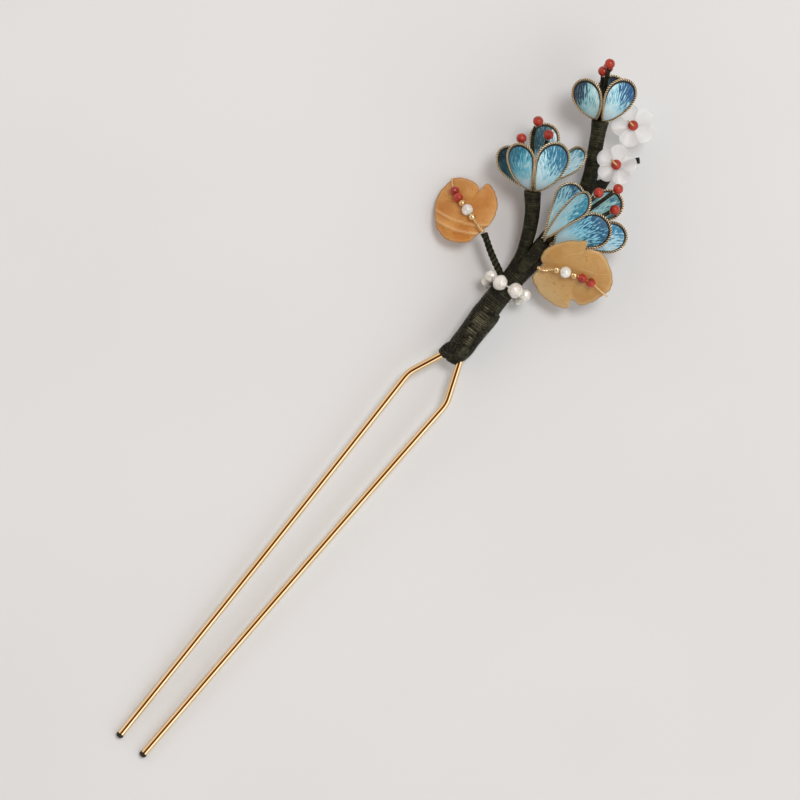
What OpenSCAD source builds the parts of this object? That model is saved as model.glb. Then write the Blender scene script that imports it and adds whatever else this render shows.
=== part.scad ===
// U-shaped hairpin lying on its back: a gold wire fork bound with thread to a twig of three
// silk flowers, two carved leaves, a pearl collar and two shell flowers. Millimetres.
// The fork's tips point towards -Y, the flowers towards +Y, and the surface is at z = 0.

/* [Fork] */
// Diameter of the fork's round wire
wire_d = 1.5; // [1.4:0.05:1.6]
// Distance from the binding's lower end to the cut tips
prong_reach = 102; // [80:1:115]
// Distance between the wire's centres at the cut tips
tip_gap = 6; // [5.8:0.1:7]
// Distance between the wire's centres at the shoulders
shoulder_gap = 10.2; // [9.6:0.1:11]
// Distance from the binding's lower end to the shoulders
shoulder_drop = 8.6; // [8:0.1:9.5]
// Radius of the wire's bends at the shoulders, on its centre line
shoulder_r = 3; // [2.5:0.1:4]
// Lean of the fork as it lies, tips down
fork_lean = 2.4; // [2.2:0.1:2.6]

/* [Binding] */
// Length of the thread binding
binding_length = 13.1; // [12.8:0.1:13.4]
// Turn of the binding and the stem away from the fork's middle line
binding_turn = 2.5; // [2:0.1:3]

/* [Pearl collar] */
// Diameter of the collar's pearls
pearl_d = 3.2; // [3:0.05:3.25]
// Number of pearls round the stem
pearl_count = 8; // [8:1:8]
// Radius of the ring through the pearls' centres
collar_r = 4.32; // [4.25:0.01:4.4]

/* [Flowers] */
// Diameter of the twisted gold cord round a petal
rim_d = 0.54; // [0.5:0.02:0.56]
// Thickness of a silk petal at its middle
petal_thickness = 1.1; // [0.8:0.1:1.2]
// Diameter of a thread-wrapped stamen
stamen_d = 0.84; // [0.7:0.02:0.86]
// Diameter of the red beads on the stamens
stamen_bead_d = 2; // [1.8:0.1:2.1]

/* [Leaves] */
// Thickness of a carved leaf
leaf_thickness = 1.5; // [1.2:0.1:1.6]
// Diameter of the gold wire over a leaf
leaf_wire_d = 0.4; // [0.36:0.02:0.42]

/* [Shell flowers] */
// Distance from a shell flower's middle to its petal tips
shell_r = 4; // [3.8:0.1:4.1]
// Thickness of the shell
shell_thickness = 0.9; // [0.8:0.1:1]

/* [Hidden] */

// Middle of the hairpin's box, measured from the binding's lower end
box_middle = [-3.7, -18.1];
// Clearance between neighbouring pieces
gap = 0.1;
// Facets of the exact round shapes
round_fn = 48;

// Sides of the tubes, and points that smooth each span of a route
stem_sides = 12;
twig_sides = 8;
wire_sides = 6;
stem_steps = 2;
wire_steps = 3;

thread_colour = "#2b2a22";
gold_colour = "#c8975f";
silk_colour = "#6fb4cc";
red_colour = "#a82a1e";
amber_colour = "#c08a4a";
pearl_colour = "#ece6da";

// Puts the origin under the middle of the whole hairpin
module in_frame() {
    translate([-box_middle[0], -box_middle[1], 0])
        children();
}

// Vectors
function unit(v) = v / norm(v);
function mix(a, b, t) = a + (b - a) * t;
function heading(turn, rise) = [cos(rise) * sin(turn), cos(rise) * cos(turn), sin(rise)];
function xyz(row) = [row[0], row[1], row[2]];

// Smooth curve through the rows of a table, with steps points to each span
function spline(a, b, c, d, t) =
    0.5 * (2 * b + (c - a) * t + (2 * a - 5 * b + 4 * c - d) * t * t + (3 * b - a - 3 * c + d) * t * t * t);
function curve(rows, steps) = let (last = len(rows) - 1) [
    for (i = [0 : last - 1], k = [0 : steps - 1])
        spline(rows[max(i - 1, 0)], rows[i], rows[i + 1], rows[min(i + 2, last)], k / steps),
    rows[last]
];

// Tube of changing radius along rows of [x, y, z, radius]; up is a direction that it never follows
function tube_ring(p, along, up, r, sides) =
    let (side = unit(cross(along, up)), over = cross(side, along))
    [for (k = [0 : sides - 1]) let (a = 360 * k / sides) p + r * (cos(a) * side + sin(a) * over)];
function band_faces(i, j, sides) = [
    for (k = [0 : sides - 1]) let (m = (k + 1) % sides)
        each [[i * sides + k, i * sides + m, j * sides + m], [i * sides + k, j * sides + m, j * sides + k]]
];
module tube(rows, sides, up = [0, 0, 1], closed = false) {
    count = len(rows);
    before = function (i) closed ? (i + count - 1) % count : max(i - 1, 0);
    after = function (i) closed ? (i + 1) % count : min(i + 1, count - 1);
    ups = is_list(up[0]) ? up : [for (i = [0 : count - 1]) up];
    rings = [
        for (i = [0 : count - 1])
            let (along = unit(xyz(rows[after(i)]) - xyz(rows[before(i)])))
            each tube_ring(xyz(rows[i]), along, ups[i], rows[i][3], sides)
    ];
    bands = [
        for (i = [0 : closed ? count - 1 : count - 2])
            each band_faces(i, after(i), sides)
    ];
    caps = closed ? [] : [
        [for (k = [sides - 1 : -1 : 0]) k],
        [for (k = [0 : sides - 1]) (count - 1) * sides + k]
    ];
    polyhedron(points = rings, faces = concat(bands, caps), convexity = 8);
}

// Plate between two surfaces, each a set of rings of count points from the rim to the middle point
function fan_faces(first, count, middle, flip) = [
    for (k = [0 : count - 1]) let (m = (k + 1) % count)
        flip ? [first + k, middle, first + m] : [first + k, first + m, middle]
];
function shelf_faces(first, next, count, flip) = [
    for (k = [0 : count - 1]) let (m = (k + 1) % count)
        each flip
            ? [[first + k, next + m, first + m], [first + k, next + k, next + m]]
            : [[first + k, first + m, next + m], [first + k, next + m, next + k]]
];
module plate(upper, lower, upper_middle, lower_middle) {
    rings = len(upper);
    count = len(upper[0]);
    size = rings * count;
    upper_faces = [for (i = [0 : rings - 2]) each shelf_faces(i * count, (i + 1) * count, count, true)];
    lower_faces = [
        for (i = [0 : rings - 2]) each shelf_faces(size + i * count, size + (i + 1) * count, count, false)
    ];
    faces = concat(
        upper_faces,
        fan_faces((rings - 1) * count, count, 2 * size, true),
        lower_faces,
        fan_faces(size + (rings - 1) * count, count, 2 * size + 1, false),
        shelf_faces(0, size, count, false)
    );
    points = concat([for (r = upper) each r], [for (r = lower) each r], [upper_middle, lower_middle]);
    polyhedron(points = points, faces = faces, convexity = 8);
}

// Height of the fork's middle line over the surface
tip_height = wire_d / 2;
function fork_height(y) = tip_height + (y + prong_reach) * tan(fork_lean);

// Fork: straight runs and bends of one wire, flat in its own plane
head_r = 1.2;
head_top = 9.6;
neck_y = 1;
neck_r = 2.5;
tip = [tip_gap / 2, -prong_reach / cos(fork_lean)];
shoulder = [shoulder_gap / 2, -shoulder_drop];
neck = [head_r, neck_y];
tip_chamfer = 0.12;
function bearing(a, b) = atan2(b[1] - a[1], b[0] - a[0]);
prong_bearing = bearing(tip, shoulder);
neck_bearing = bearing(shoulder, neck);
shoulder_bend = neck_bearing - prong_bearing;
neck_bend = neck_bearing - 90;
shoulder_run = shoulder_r * tan(shoulder_bend / 2);
neck_run = neck_r * tan(neck_bend / 2);
function at_bearing(p, b, run) = p + run * [cos(b), sin(b)];

// Each bend is a hair thinner than the runs and ends just inside them
bend_lap = 0.06;
bend_slack = 0.01;
module wire_run(a, b, d, chamfer = 0) {
    r = d / 2;
    run = norm(b - a);
    translate([a[0], a[1], 0])
        rotate([0, 0, bearing(a, b)])
            rotate([0, 90, 0])
                rotate_extrude($fn = round_fn)
                    polygon([[0, 0], [r - chamfer, 0], [r, chamfer], [r, run], [0, run]]);
}
module wire_bend(centre, r, from, sweep, d) {
    lap = asin(bend_lap / r);
    translate([centre[0], centre[1], 0])
        rotate([0, 0, from - lap])
            rotate_extrude(angle = sweep + 2 * lap, $fn = round_fn)
                translate([r, 0])
                    circle(d = d - bend_slack, $fn = round_fn);
}
module prong(d) {
    shoulder_in = at_bearing(shoulder, prong_bearing, -shoulder_run);
    shoulder_out = at_bearing(shoulder, neck_bearing, shoulder_run);
    neck_in = at_bearing(neck, neck_bearing, -neck_run);
    neck_out = at_bearing(neck, 90, neck_run);
    wire_run(tip, shoulder_in, d, tip_chamfer);
    wire_bend(at_bearing(shoulder_in, prong_bearing + 90, shoulder_r), shoulder_r,
        prong_bearing - 90, shoulder_bend, d);
    wire_run(shoulder_out, neck_in, d);
    wire_bend(at_bearing(neck_in, neck_bearing - 90, neck_r), neck_r, neck_bearing + 90 - neck_bend,
        neck_bend, d);
    wire_run(neck_out, [head_r, head_top - head_r - wire_d / 2], d);
}
module flat_fork(d) {
    prong(d);
    mirror([1, 0, 0]) prong(d);
    wire_bend([0, head_top - head_r - wire_d / 2], head_r, 0, 180, d);
}
module on_fork() {
    translate([0, 0, fork_height(0)])
        rotate([fork_lean, 0, 0])
            children();
}
module fork() {
    color(gold_colour)
        in_frame() on_fork() flat_fork(wire_d);
}

// Binding: [distance up the stem, radius]
binding_rows = [
    [0, 2.5], [0.35, 2.8], [2.6, 2.68], [6.2, 2.66], [9.4, 2.86], [10.9, 2.92], [11.5, 2.66],
    [12.9, 2.56], [binding_length, 2.4]
];
spigot_r = 1.2;
spigot_y = 11.4;
spigot_room = 0.2;
module binding() {
    profile = concat([[0, 0]], [for (r = binding_rows) [r[1], r[0]]], [[0, binding_length]]);
    color(thread_colour)
        in_frame() difference() {
            on_fork()
                rotate([-90, 0, binding_turn])
                    rotate_extrude($fn = round_fn)
                        polygon(profile);
            on_fork() flat_fork(wire_d + 2 * gap);
            on_fork()
                rotate([-90, 0, binding_turn])
                    translate([0, 0, spigot_y - spigot_room])
                        cylinder(h = binding_length, r = spigot_r + gap, $fn = round_fn);
        }
}

// Stem, branches and twigs: [x, y, height over the fork's line, radius]
stem_rows = [
    [-0.6, 13.3, 0, 2.4], [-0.8, 17, 0, 2.35], [-0.7, 20, 0, 2.2], [-0.3, 24, -0.1, 2.15],
    [-0.3, 28.5, -0.5, 2], [-0.4, 33, -0.9, 1.85], [-0.3, 38.5, -0.9, 1.7], [-1.4, 43.2, -0.6, 1.55],
    [-4.6, 49.3, 0.4, 1.5], [-7.4, 54.3, 1.1, 1.6]
];
branch_left_rows = [
    [-3.4, 20.8, 0, 0.35], [-3.6, 24.3, 0, 0.9], [-4.5, 28.7, 0.2, 1.4], [-6.6, 32.2, 0.6, 1.55],
    [-8.8, 34.9, 1, 1.6]
];
branch_right_rows = [
    [-0.7, 21.8, 2.85, 0.4], [-0.7, 24.2, 3.05, 0.75], [-0.65, 26.5, 3.1, 1.15], [-0.55, 28.7, 3.3, 1.4]
];
twig_leaf_rows = [
    [-4.4, 18.7, 0.2, 0.5], [-6.1, 19.6, 0.4, 0.7], [-8, 20.6, 0.6, 0.7], [-9.6, 21.6, 0.5, 0.7],
    [-11.1, 22.45, 0.4, 0.7]
];
twig_shell_rows = [
    [1.85, 37.4, -1.1, 0.3], [2.2, 40.5, -1.9, 0.55], [1.7, 43.5, -2.4, 0.6], [1.2, 46.6, -2.6, 0.6],
    [1.4, 49.7, -2.6, 0.6], [2.2, 51.7, -2.5, 0.6], [3.1, 53.1, -2.4, 0.55]
];
function lifted(rows) = [for (r = rows) [r[0], r[1], r[2] + fork_height(r[1]), r[3]]];
module main_stem() {
    smooth = curve(stem_rows, stem_steps);
    spigot_x = function (y) -y * tan(binding_turn);
    spigot = [
        [spigot_x(spigot_y), spigot_y, 0, spigot_r],
        [stem_rows[0][0], stem_rows[0][1], 0, spigot_r]
    ];
    color(thread_colour)
        in_frame() tube(lifted(concat(spigot, smooth)), stem_sides);
}
module branch_left() {
    color(thread_colour)
        in_frame() tube(lifted(curve(branch_left_rows, stem_steps)), stem_sides);
}
module branch_right() {
    color(thread_colour)
        in_frame() tube(lifted(curve(branch_right_rows, stem_steps)), stem_sides);
}
module twig_leaf() {
    color(thread_colour)
        in_frame() tube(lifted(curve(twig_leaf_rows, wire_steps)), twig_sides);
}
module twig_shell() {
    color(thread_colour)
        in_frame() tube(lifted(curve(twig_shell_rows, stem_steps)), twig_sides);
}

// Pearl collar: corners of the thread's loop, as the shift along the stem of each
collar_shift = [17.2, 17.9, 17, 15.6, 15.2, 15, 15.8, 16.5];
collar_x = -0.6;
bead_bore_d = 0.6;
thread_d = 0.36;
function collar_corner(i) =
    let (k = i % pearl_count, a = 360 * k / pearl_count, r = collar_r / cos(180 / pearl_count))
    [collar_x + r * sin(a), collar_shift[k], fork_height(collar_shift[k]) + r * cos(a)];
module along_line(a, b) {
    run = b - a;
    translate((a + b) / 2)
        rotate([0, acos(run[2] / norm(run)), atan2(run[1], run[0])])
            children();
}
module drilled_bead(a, b, d, bore) {
    along_line(a, b)
        difference() {
            sphere(d = d, $fn = round_fn);
            cylinder(h = 2 * d, d = bore, center = true, $fn = round_fn);
        }
}
module pearl_collar() {
    color(pearl_colour)
        in_frame() for (i = [0 : pearl_count - 1])
            drilled_bead(collar_corner(i), collar_corner(i + 1), pearl_d, bead_bore_d);
}
module collar_thread() {
    middle = [collar_x, 16.3, fork_height(16.3)];
    corners = [for (i = [0 : pearl_count - 1]) concat(collar_corner(i), [thread_d / 2])];
    color(thread_colour)
        in_frame() tube(corners, wire_sides, [for (c = corners) unit(xyz(c) - middle)], true);
}

// Flowers: where each sits on its branch, the way its axis points, and its petals, a row of
// [turn, rise, roll, length, width, bow, shift along the axis] for each
petal_turn = 0;
petal_rise = 1;
petal_roll = 2;
petal_length = 3;
petal_width = 4;
petal_bow = 5;
petal_shift = 6;
flower_left = [-8.95, 35.15, 1.05];
flower_right = [-0.5, 28.9, 3.38];
flower_top = [-7.75, 54.4, 1.16];
axis_left = heading(-33, 22);
axis_right = heading(27, 16);
axis_top = heading(-28, 30);
petals_left = [
    [-51, 40, 34, 12, 6, 2.2, 0],
    [-17.5, 38, -28, 12.9, 6.9, 2.5, 0],
    [-74, 8, -30, 9.5, 5.8, -0.9, 0],
    [17, 14, 44, 11.2, 5.7, -0.9, 1.6],
    [-28, -4, 5, 12.9, 5.8, -1, 0]
];
petals_right = [
    [8.5, 30, 46, 13.7, 5.8, 0.9, 0],
    [30.5, 16, -12, 12.2, 7, 1, 0.9],
    [-8, 6, -15, 12, 5.8, -0.7, 0],
    [44, 2, 20, 14.8, 6.4, -0.9, 0.6],
    [20, -2, 0, 14.9, 5.8, -1, 1.9]
];
petals_top = [
    [-52, 38, 30, 10, 6.2, 2.1, 0],
    [-12, 38, -28, 11.5, 6.3, 2.1, 0],
    [-58, 18, -20, 7.6, 5.2, -0.6, -0.1],
    [-2, 20, 20, 8, 5.2, -0.6, 0],
    [-19, 4, 0, 8.5, 5.6, -0.8, 0]
];
// Ring round the branch's end that the petals start from, and half the rim's width there
petal_ring_r = 1.15;
petal_foot = 0.33;
silk_foot = 0.12;
silk_inset = rim_d / 2 + 0.14;
petal_lift = 0.45;
petal_cup = 0.7;
// Middle point of a petal's surface as a share of its length, its rings, and its thickness at the edge
petal_middle = 0.62;
petal_rings = [1, 0.55];
petal_edge = 0.28;

// Outline of a petal [along, across]: straight sides that meet a round end, inset from the rim's line
outline_round = 12;
outline_side = 3;
function petal_outline(l, w, inset) =
    let (
        round_r = w / 2,
        middle = l - round_r,
        flare = asin((round_r - petal_foot) / middle),
        r = round_r - inset,
        foot_half = inset > 0 ? silk_foot : petal_foot,
        foot = [(foot_half - petal_foot + inset / cos(flare)) / tan(flare), foot_half],
        side = [middle - r * sin(flare), r * cos(flare)],
        half = [for (k = [0 : outline_side]) mix(foot, side, k / (outline_side + 1))],
        arc = [
            for (k = [0 : outline_round - 1])
                let (a = (90 + flare) * (1 - 2 * k / (outline_round - 1)))
                [middle + r * cos(a), r * sin(a)]
        ]
    )
    concat(half, arc, [for (k = [outline_side : -1 : 0]) [half[k][0], -half[k][1]]]);

function lifted_point(p) = [p[0], p[1], p[2] + fork_height(p[1])];
function petal_start(flower, axis, row) =
    let (along = heading(row[petal_turn], row[petal_rise]), off = along - (along * axis) * axis)
    lifted_point(flower) + petal_ring_r * unit(off) + (petal_lift + row[petal_shift]) * axis;
// Across and face directions of a petal
function petal_frame(row) =
    let (
        along = heading(row[petal_turn], row[petal_rise]),
        level = [cos(row[petal_turn]), -sin(row[petal_turn]), 0],
        face = cross(level, along),
        c = cos(row[petal_roll]),
        s = sin(row[petal_roll])
    )
    [along, c * level + s * face, c * face - s * level];
function petal_height(uv, row) =
    let (t = uv[0] / row[petal_length], w = 2 * uv[1] / row[petal_width], side = sign(row[petal_bow]))
    row[petal_bow] * 4 * t * (1 - t) - side * petal_cup * w * w * t;
function petal_point(start, frame, row, uv, over) =
    start + frame[0] * uv[0] + frame[1] * uv[1] + frame[2] * (petal_height(uv, row) + over);

module petal(flower, axis, row) {
    start = petal_start(flower, axis, row);
    frame = petal_frame(row);
    edge = petal_outline(row[petal_length], row[petal_width], silk_inset);
    middle = [row[petal_length] * petal_middle, 0];
    half = petal_thickness / 2;
    function ring(s, up) = [
        for (uv = edge)
            petal_point(start, frame, row, mix(middle, uv, s),
                up * mix(half, petal_thickness * petal_edge, s * s))
    ];
    color(silk_colour)
        in_frame() plate([for (s = petal_rings) ring(s, 1)], [for (s = petal_rings) ring(s, -1)],
            petal_point(start, frame, row, middle, half), petal_point(start, frame, row, middle, -half));
}
module rim(flower, axis, row) {
    start = petal_start(flower, axis, row);
    frame = petal_frame(row);
    edge = petal_outline(row[petal_length], row[petal_width], 0);
    path = [for (uv = edge) concat(petal_point(start, frame, row, uv, 0), [rim_d / 2])];
    color(gold_colour)
        in_frame() tube(path, wire_sides, frame[2], true);
}

// Stamens: bead places [x, y, height over the surface] of each flower
beads_left = [[-17, 46.4, 11.4], [-17.6, 41.8, 13.6], [-13.7, 45.6, 12.6]];
beads_right = [[1.6, 43.2, 12.1], [3.9, 46.2, 10.9], [6.1, 42.9, 10.8]];
beads_top = [[-13.4, 64.6, 15.2], [-13.5, 62.7, 12.8], [-13.2, 63.9, 10.9]];
stamen_foot_r = 0.2;
stamen_lift = 0.4;
stamen_arch = 1.2;
stamen_thin_r = 0.3;
stamen_wire_r = 0.15;
stamen_wire_end = 1.12;
function stamen_rows(flower, axis, bead, k) =
    let (
        side = unit(cross(axis, [0, 0, 1])),
        over = cross(side, axis),
        a = 90 + 120 * k,
        foot = lifted_point(flower) + stamen_lift * axis
            + stamen_foot_r * (cos(a) * side + sin(a) * over),
        run = bead - foot,
        neck = 1 - (stamen_bead_d / 2 + gap) / norm(run),
        path = function (t) foot + run * t + [0, 0, stamen_arch * 4 * t * (1 - t) * (1 - t)]
    )
    [
        concat(path(0), [stamen_thin_r]),
        for (t = [0.15, 0.35, 0.55, 0.75, 0.88]) concat(path(t), [stamen_d / 2]),
        concat(path(neck), [stamen_d / 2]),
        concat(path(neck), [stamen_wire_r]),
        concat(path(stamen_wire_end), [stamen_wire_r])
    ];
module stamens(flower, axis, beads) {
    color(thread_colour)
        in_frame() for (k = [0 : len(beads) - 1])
            tube(stamen_rows(flower, axis, beads[k], k), twig_sides, cross(axis, [0, 0, 1]));
}
module stamen_beads(flower, axis, beads) {
    color(red_colour)
        in_frame() for (k = [0 : len(beads) - 1]) {
            rows = stamen_rows(flower, axis, beads[k], k);
            last = len(rows) - 1;
            way = xyz(rows[last]) - xyz(rows[last - 1]);
            drilled_bead(beads[k] - way, beads[k] + way, stamen_bead_d, bead_bore_d);
        }
}

// Leaves: outline [x, y] round each leaf from the wire's far end, and the leaf's middle, slope and dome
leaf_left_middle = [-16.9, 23.4, 3.62];
leaf_left_slope = [0.44, -0.16];
leaf_left_rows = [
    [-22.9, 26.6], [-21.9, 28.1], [-20, 28.9], [-18, 28.9], [-16.9, 28.3], [-16.6, 30.3],
    [-15.4, 30.4], [-14, 29.6], [-12.4, 28.4], [-11.6, 26.4], [-11.3, 24.4], [-11.7, 22.7],
    [-11.9, 21], [-12.4, 19], [-14.2, 17.5], [-16.6, 16.7], [-19.2, 17.4], [-21.2, 19.2],
    [-22.6, 21.4], [-23.2, 23.8]
];
leaf_right_middle = [8, 27.6, 10.1];
leaf_right_slope = [-0.12, 0.53];
leaf_right_rows = [
    [15.2, 28.2], [15.5, 29.7], [14.6, 31.6], [12.8, 33], [10.8, 33.9], [8.6, 34.4], [6.2, 34.2],
    [4, 32.9], [2.2, 31.2], [1, 29.2], [0.8, 27], [1.5, 24.9], [1.7, 22.6], [3.2, 20.9],
    [5.4, 20.2], [8, 20.2], [10, 20.7], [11.4, 21.6], [10.9, 23.3], [13, 23.7], [14.4, 25.6]
];
leaf_dome = 0.7;
leaf_rings = [1, 0.78, 0.52, 0.26];
leaf_edge = 0.3;
// Folds in the left leaf's lower side: where they start below its middle, their pitch and depth
fold_start = 2.6;
fold_pitch = 2.2;
fold_depth = 0.45;
fold_across = unit([0.4, -0.92]);
function leaf_folds(xy, middle, depth) =
    let (s = (xy - [middle[0], middle[1]]) * fold_across - fold_start)
    s <= 0 ? 0 : -depth * (1 - cos(360 * s / fold_pitch)) / 2;
function leaf_height(xy, s, middle, slope, depth) =
    middle[2] + (xy - [middle[0], middle[1]]) * slope + leaf_dome * (1 - s * s)
        + leaf_folds(xy, middle, depth);
module leaf(rows, middle, slope, depth) {
    centre = [middle[0], middle[1]];
    function ring(s, over) = [
        for (r = rows) let (xy = mix(centre, r, s))
            concat(xy, [leaf_height(xy, s, middle, slope, depth) + over])
    ];
    half = leaf_thickness / 2;
    edge = leaf_thickness * leaf_edge;
    upper = [for (s = leaf_rings) ring(s, s == 1 ? edge : half)];
    lower = [for (s = leaf_rings) ring(s, s == 1 ? -edge : -half)];
    top = concat(centre, [leaf_height(centre, 0, middle, slope, depth)]);
    color(amber_colour)
        in_frame() plate(upper, lower, top + [0, 0, half], top - [0, 0, half]);
}

// Leaf wires: [x, y, share of the way from the middle to the rim, height over the leaf's top]
wire_left_rows = [
    [-11.2, 22.5, 1, 0.5], [-12.6, 22.8, 0.8, 0.7], [-14, 23.1, 0.45, 1], [-15, 23.4, 0.3, 1.2],
    [-16.5, 24, 0.1, 1.4], [-18.1, 24.2, 0.2, 1.4], [-19.3, 24.6, 0.4, 1.2], [-20.7, 25, 0.65, 1],
    [-22.3, 26.1, 0.95, 0.5], [-23.3, 27.2, 1.1, -0.4]
];
wire_right_rows = [
    [1.5, 24, 1.1, 0.3], [2.8, 24.4, 0.9, 0.7], [4, 25.4, 0.6, 1.1], [5.4, 26.4, 0.4, 1.3],
    [7, 26.9, 0.1, 1.4], [8.6, 27.5, 0.1, 1.4], [10.2, 28, 0.3, 1.3], [12, 28.4, 0.5, 1.2],
    [13.8, 28.3, 0.8, 0.8], [15.3, 28.3, 1, 0.5], [15.9, 28.3, 1.1, -0.4]
];
function leaf_wire_path(rows, middle, slope) = [
    for (r = curve(rows, wire_steps))
        [r[0], r[1], leaf_height([r[0], r[1]], r[2], middle, slope, 0) + leaf_thickness / 2 + r[3],
            leaf_wire_d / 2]
];
module leaf_wire(path) {
    color(gold_colour)
        in_frame() tube(path, wire_sides);
}
// Beads on a leaf wire, from the leaf's foot outwards: gold, pearl, gold, red, red
leaf_bead_d = [1.3, 2.2, 1.3, 1.8, 1.8];
leaf_bead_bore_d = 0.68;
leaf_bead_clearance = 0.05;
leaf_bead_start = [4.1, 4.7];
function path_step(path, i) = i + 1 < len(path) ? norm(path[i + 1] - path[i]) : 0;
function path_lengths(path) = [
    for (i = 0, s = 0; i < len(path); s = s + path_step(path, i), i = i + 1)
        s
];
function along_path(path, s) =
    let (
        lengths = path_lengths(path),
        i = [for (k = [0 : len(path) - 2]) if (lengths[k] <= s && s < lengths[k + 1]) k][0]
    )
    mix(path[i], path[i + 1], (s - lengths[i]) / (lengths[i + 1] - lengths[i]));
function bead_distance(k) =
    k == 0 ? 0 : bead_distance(k - 1) + (leaf_bead_d[k - 1] + leaf_bead_d[k]) / 2 + leaf_bead_clearance;
module leaf_beads(side, picked, shade) {
    path = [for (row = side == 0 ? path_left : path_right) xyz(row)];
    color(shade)
        in_frame()
            for (k = picked) {
                s = leaf_bead_start[side] + bead_distance(k);
                r = leaf_bead_d[k] / 2;
                drilled_bead(along_path(path, s - r), along_path(path, s + r), 2 * r, leaf_bead_bore_d);
            }
}
path_left = leaf_wire_path(wire_left_rows, leaf_left_middle, leaf_left_slope);
path_right = leaf_wire_path(wire_right_rows, leaf_right_middle, leaf_right_slope);

// Shell flowers: [x, y, height over the surface, turn]
shell_places = [[-1.9, 57.9, 7.4, 4], [0.5, 49.4, 8.8, 43]];
shell_points = 30;
shell_rings = [1, 0.8, 0.5, 0.1];
shell_cup = 0.9;
shell_lobes = 5;
shell_notch = 0.74;
shell_roundness = 0.7;
function shell_edge(a) =
    shell_r * mix(shell_notch, 1, pow(abs(cos(shell_lobes / 2 * a)), shell_roundness));
module shell(place) {
    function ring(s, over) = [
        for (k = [0 : shell_points - 1])
            let (a = 360 * k / shell_points, r = s * shell_edge(a), t = a + place[3])
            [place[0] + r * cos(t), place[1] + r * sin(t), place[2] + shell_cup * s * s + over]
    ];
    half = shell_thickness / 2;
    upper = [for (s = shell_rings) ring(s, half)];
    lower = [for (s = shell_rings) ring(s, -half)];
    rings = len(shell_rings);
    size = rings * shell_points;
    faces = concat(
        [for (i = [0 : rings - 2])
            each shelf_faces(i * shell_points, (i + 1) * shell_points, shell_points, true)],
        [for (i = [0 : rings - 2])
            each shelf_faces(size + i * shell_points, size + (i + 1) * shell_points, shell_points, false)],
        shelf_faces(0, size, shell_points, false),
        shelf_faces(size - shell_points, 2 * size - shell_points, shell_points, true)
    );
    color("white")
        in_frame() polyhedron(points = concat([for (r = upper) each r], [for (r = lower) each r]),
            faces = faces, convexity = 8);
}
shell_bead_d = 2;
function shell_bead(place) = [place[0], place[1], place[2] + shell_thickness / 2 + shell_bead_d / 2 + gap];
module shell_beads() {
    color(red_colour)
        in_frame() for (place = shell_places) {
            middle = shell_bead(place);
            drilled_bead(middle - [0, 0, 1], middle + [0, 0, 1], shell_bead_d, bead_bore_d);
        }
}
// Where each shell flower's wire leaves its branch or twig: [x, y, height over the surface]
shell_wire_starts = [[-5, 53.9, 7.9], [-1.5, 47.6, 7.4]];
shell_wire_r = 0.16;
shell_wire_drop = 0.9;
shell_wire_rise = 0.25;
shell_wire_end = 0.3;
module shell_wires() {
    color(gold_colour)
        in_frame() for (k = [0 : 1]) {
            place = shell_places[k];
            start = shell_wire_starts[k];
            hole = [place[0], place[1], place[2] - shell_thickness / 2];
            run = [hole[0] - start[0], hole[1] - start[1], 0];
            under = hole - [0, 0, shell_wire_drop];
            rows = [start, mix(start, under, 0.5), mix(start, under, 0.9), under + [0, 0, shell_wire_rise],
                hole, shell_bead(place) + [0, 0, shell_bead_d / 2 + shell_wire_end]];
            tube([for (r = rows) concat(r, [shell_wire_r])], wire_sides, cross(unit(run), [0, 0, 1]));
        }
}

fork();
binding();
main_stem();
branch_left();
branch_right();
twig_leaf();
twig_shell();
for (k = [0 : 4]) {
    petal(flower_left, axis_left, petals_left[k]);
    petal(flower_right, axis_right, petals_right[k]);
    petal(flower_top, axis_top, petals_top[k]);
    rim(flower_left, axis_left, petals_left[k]);
    rim(flower_right, axis_right, petals_right[k]);
    rim(flower_top, axis_top, petals_top[k]);
}
stamens(flower_left, axis_left, beads_left);  // stamens_left
stamens(flower_right, axis_right, beads_right);  // stamens_right
stamens(flower_top, axis_top, beads_top);  // stamens_top
stamen_beads(flower_left, axis_left, beads_left);  // stamen_beads_left
stamen_beads(flower_right, axis_right, beads_right);  // stamen_beads_right
stamen_beads(flower_top, axis_top, beads_top);  // stamen_beads_top
leaf(leaf_left_rows, leaf_left_middle, leaf_left_slope, fold_depth);  // leaf_left
leaf(leaf_right_rows, leaf_right_middle, leaf_right_slope, 0);  // leaf_right
leaf_wire(path_left);  // leaf_wire_left
leaf_wire(path_right);  // leaf_wire_right
leaf_beads(0, [1], pearl_colour);  // leaf_pearl_left
leaf_beads(1, [1], pearl_colour);  // leaf_pearl_right
leaf_beads(0, [0, 2], gold_colour);  // gold_beads_left
leaf_beads(1, [0, 2], gold_colour);  // gold_beads_right
leaf_beads(0, [3, 4], red_colour);  // red_beads_left
leaf_beads(1, [3, 4], red_colour);  // red_beads_right
pearl_collar();
collar_thread();
shell(shell_places[0]);  // shell_upper
shell(shell_places[1]);  // shell_lower
shell_beads();
shell_wires();
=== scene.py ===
from collections import namedtuple
from math import asin, atan2, copysign, cos, hypot, pi, radians, sin, sqrt, tan

import bpy
from mathutils import Matrix, Vector, noise


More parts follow.
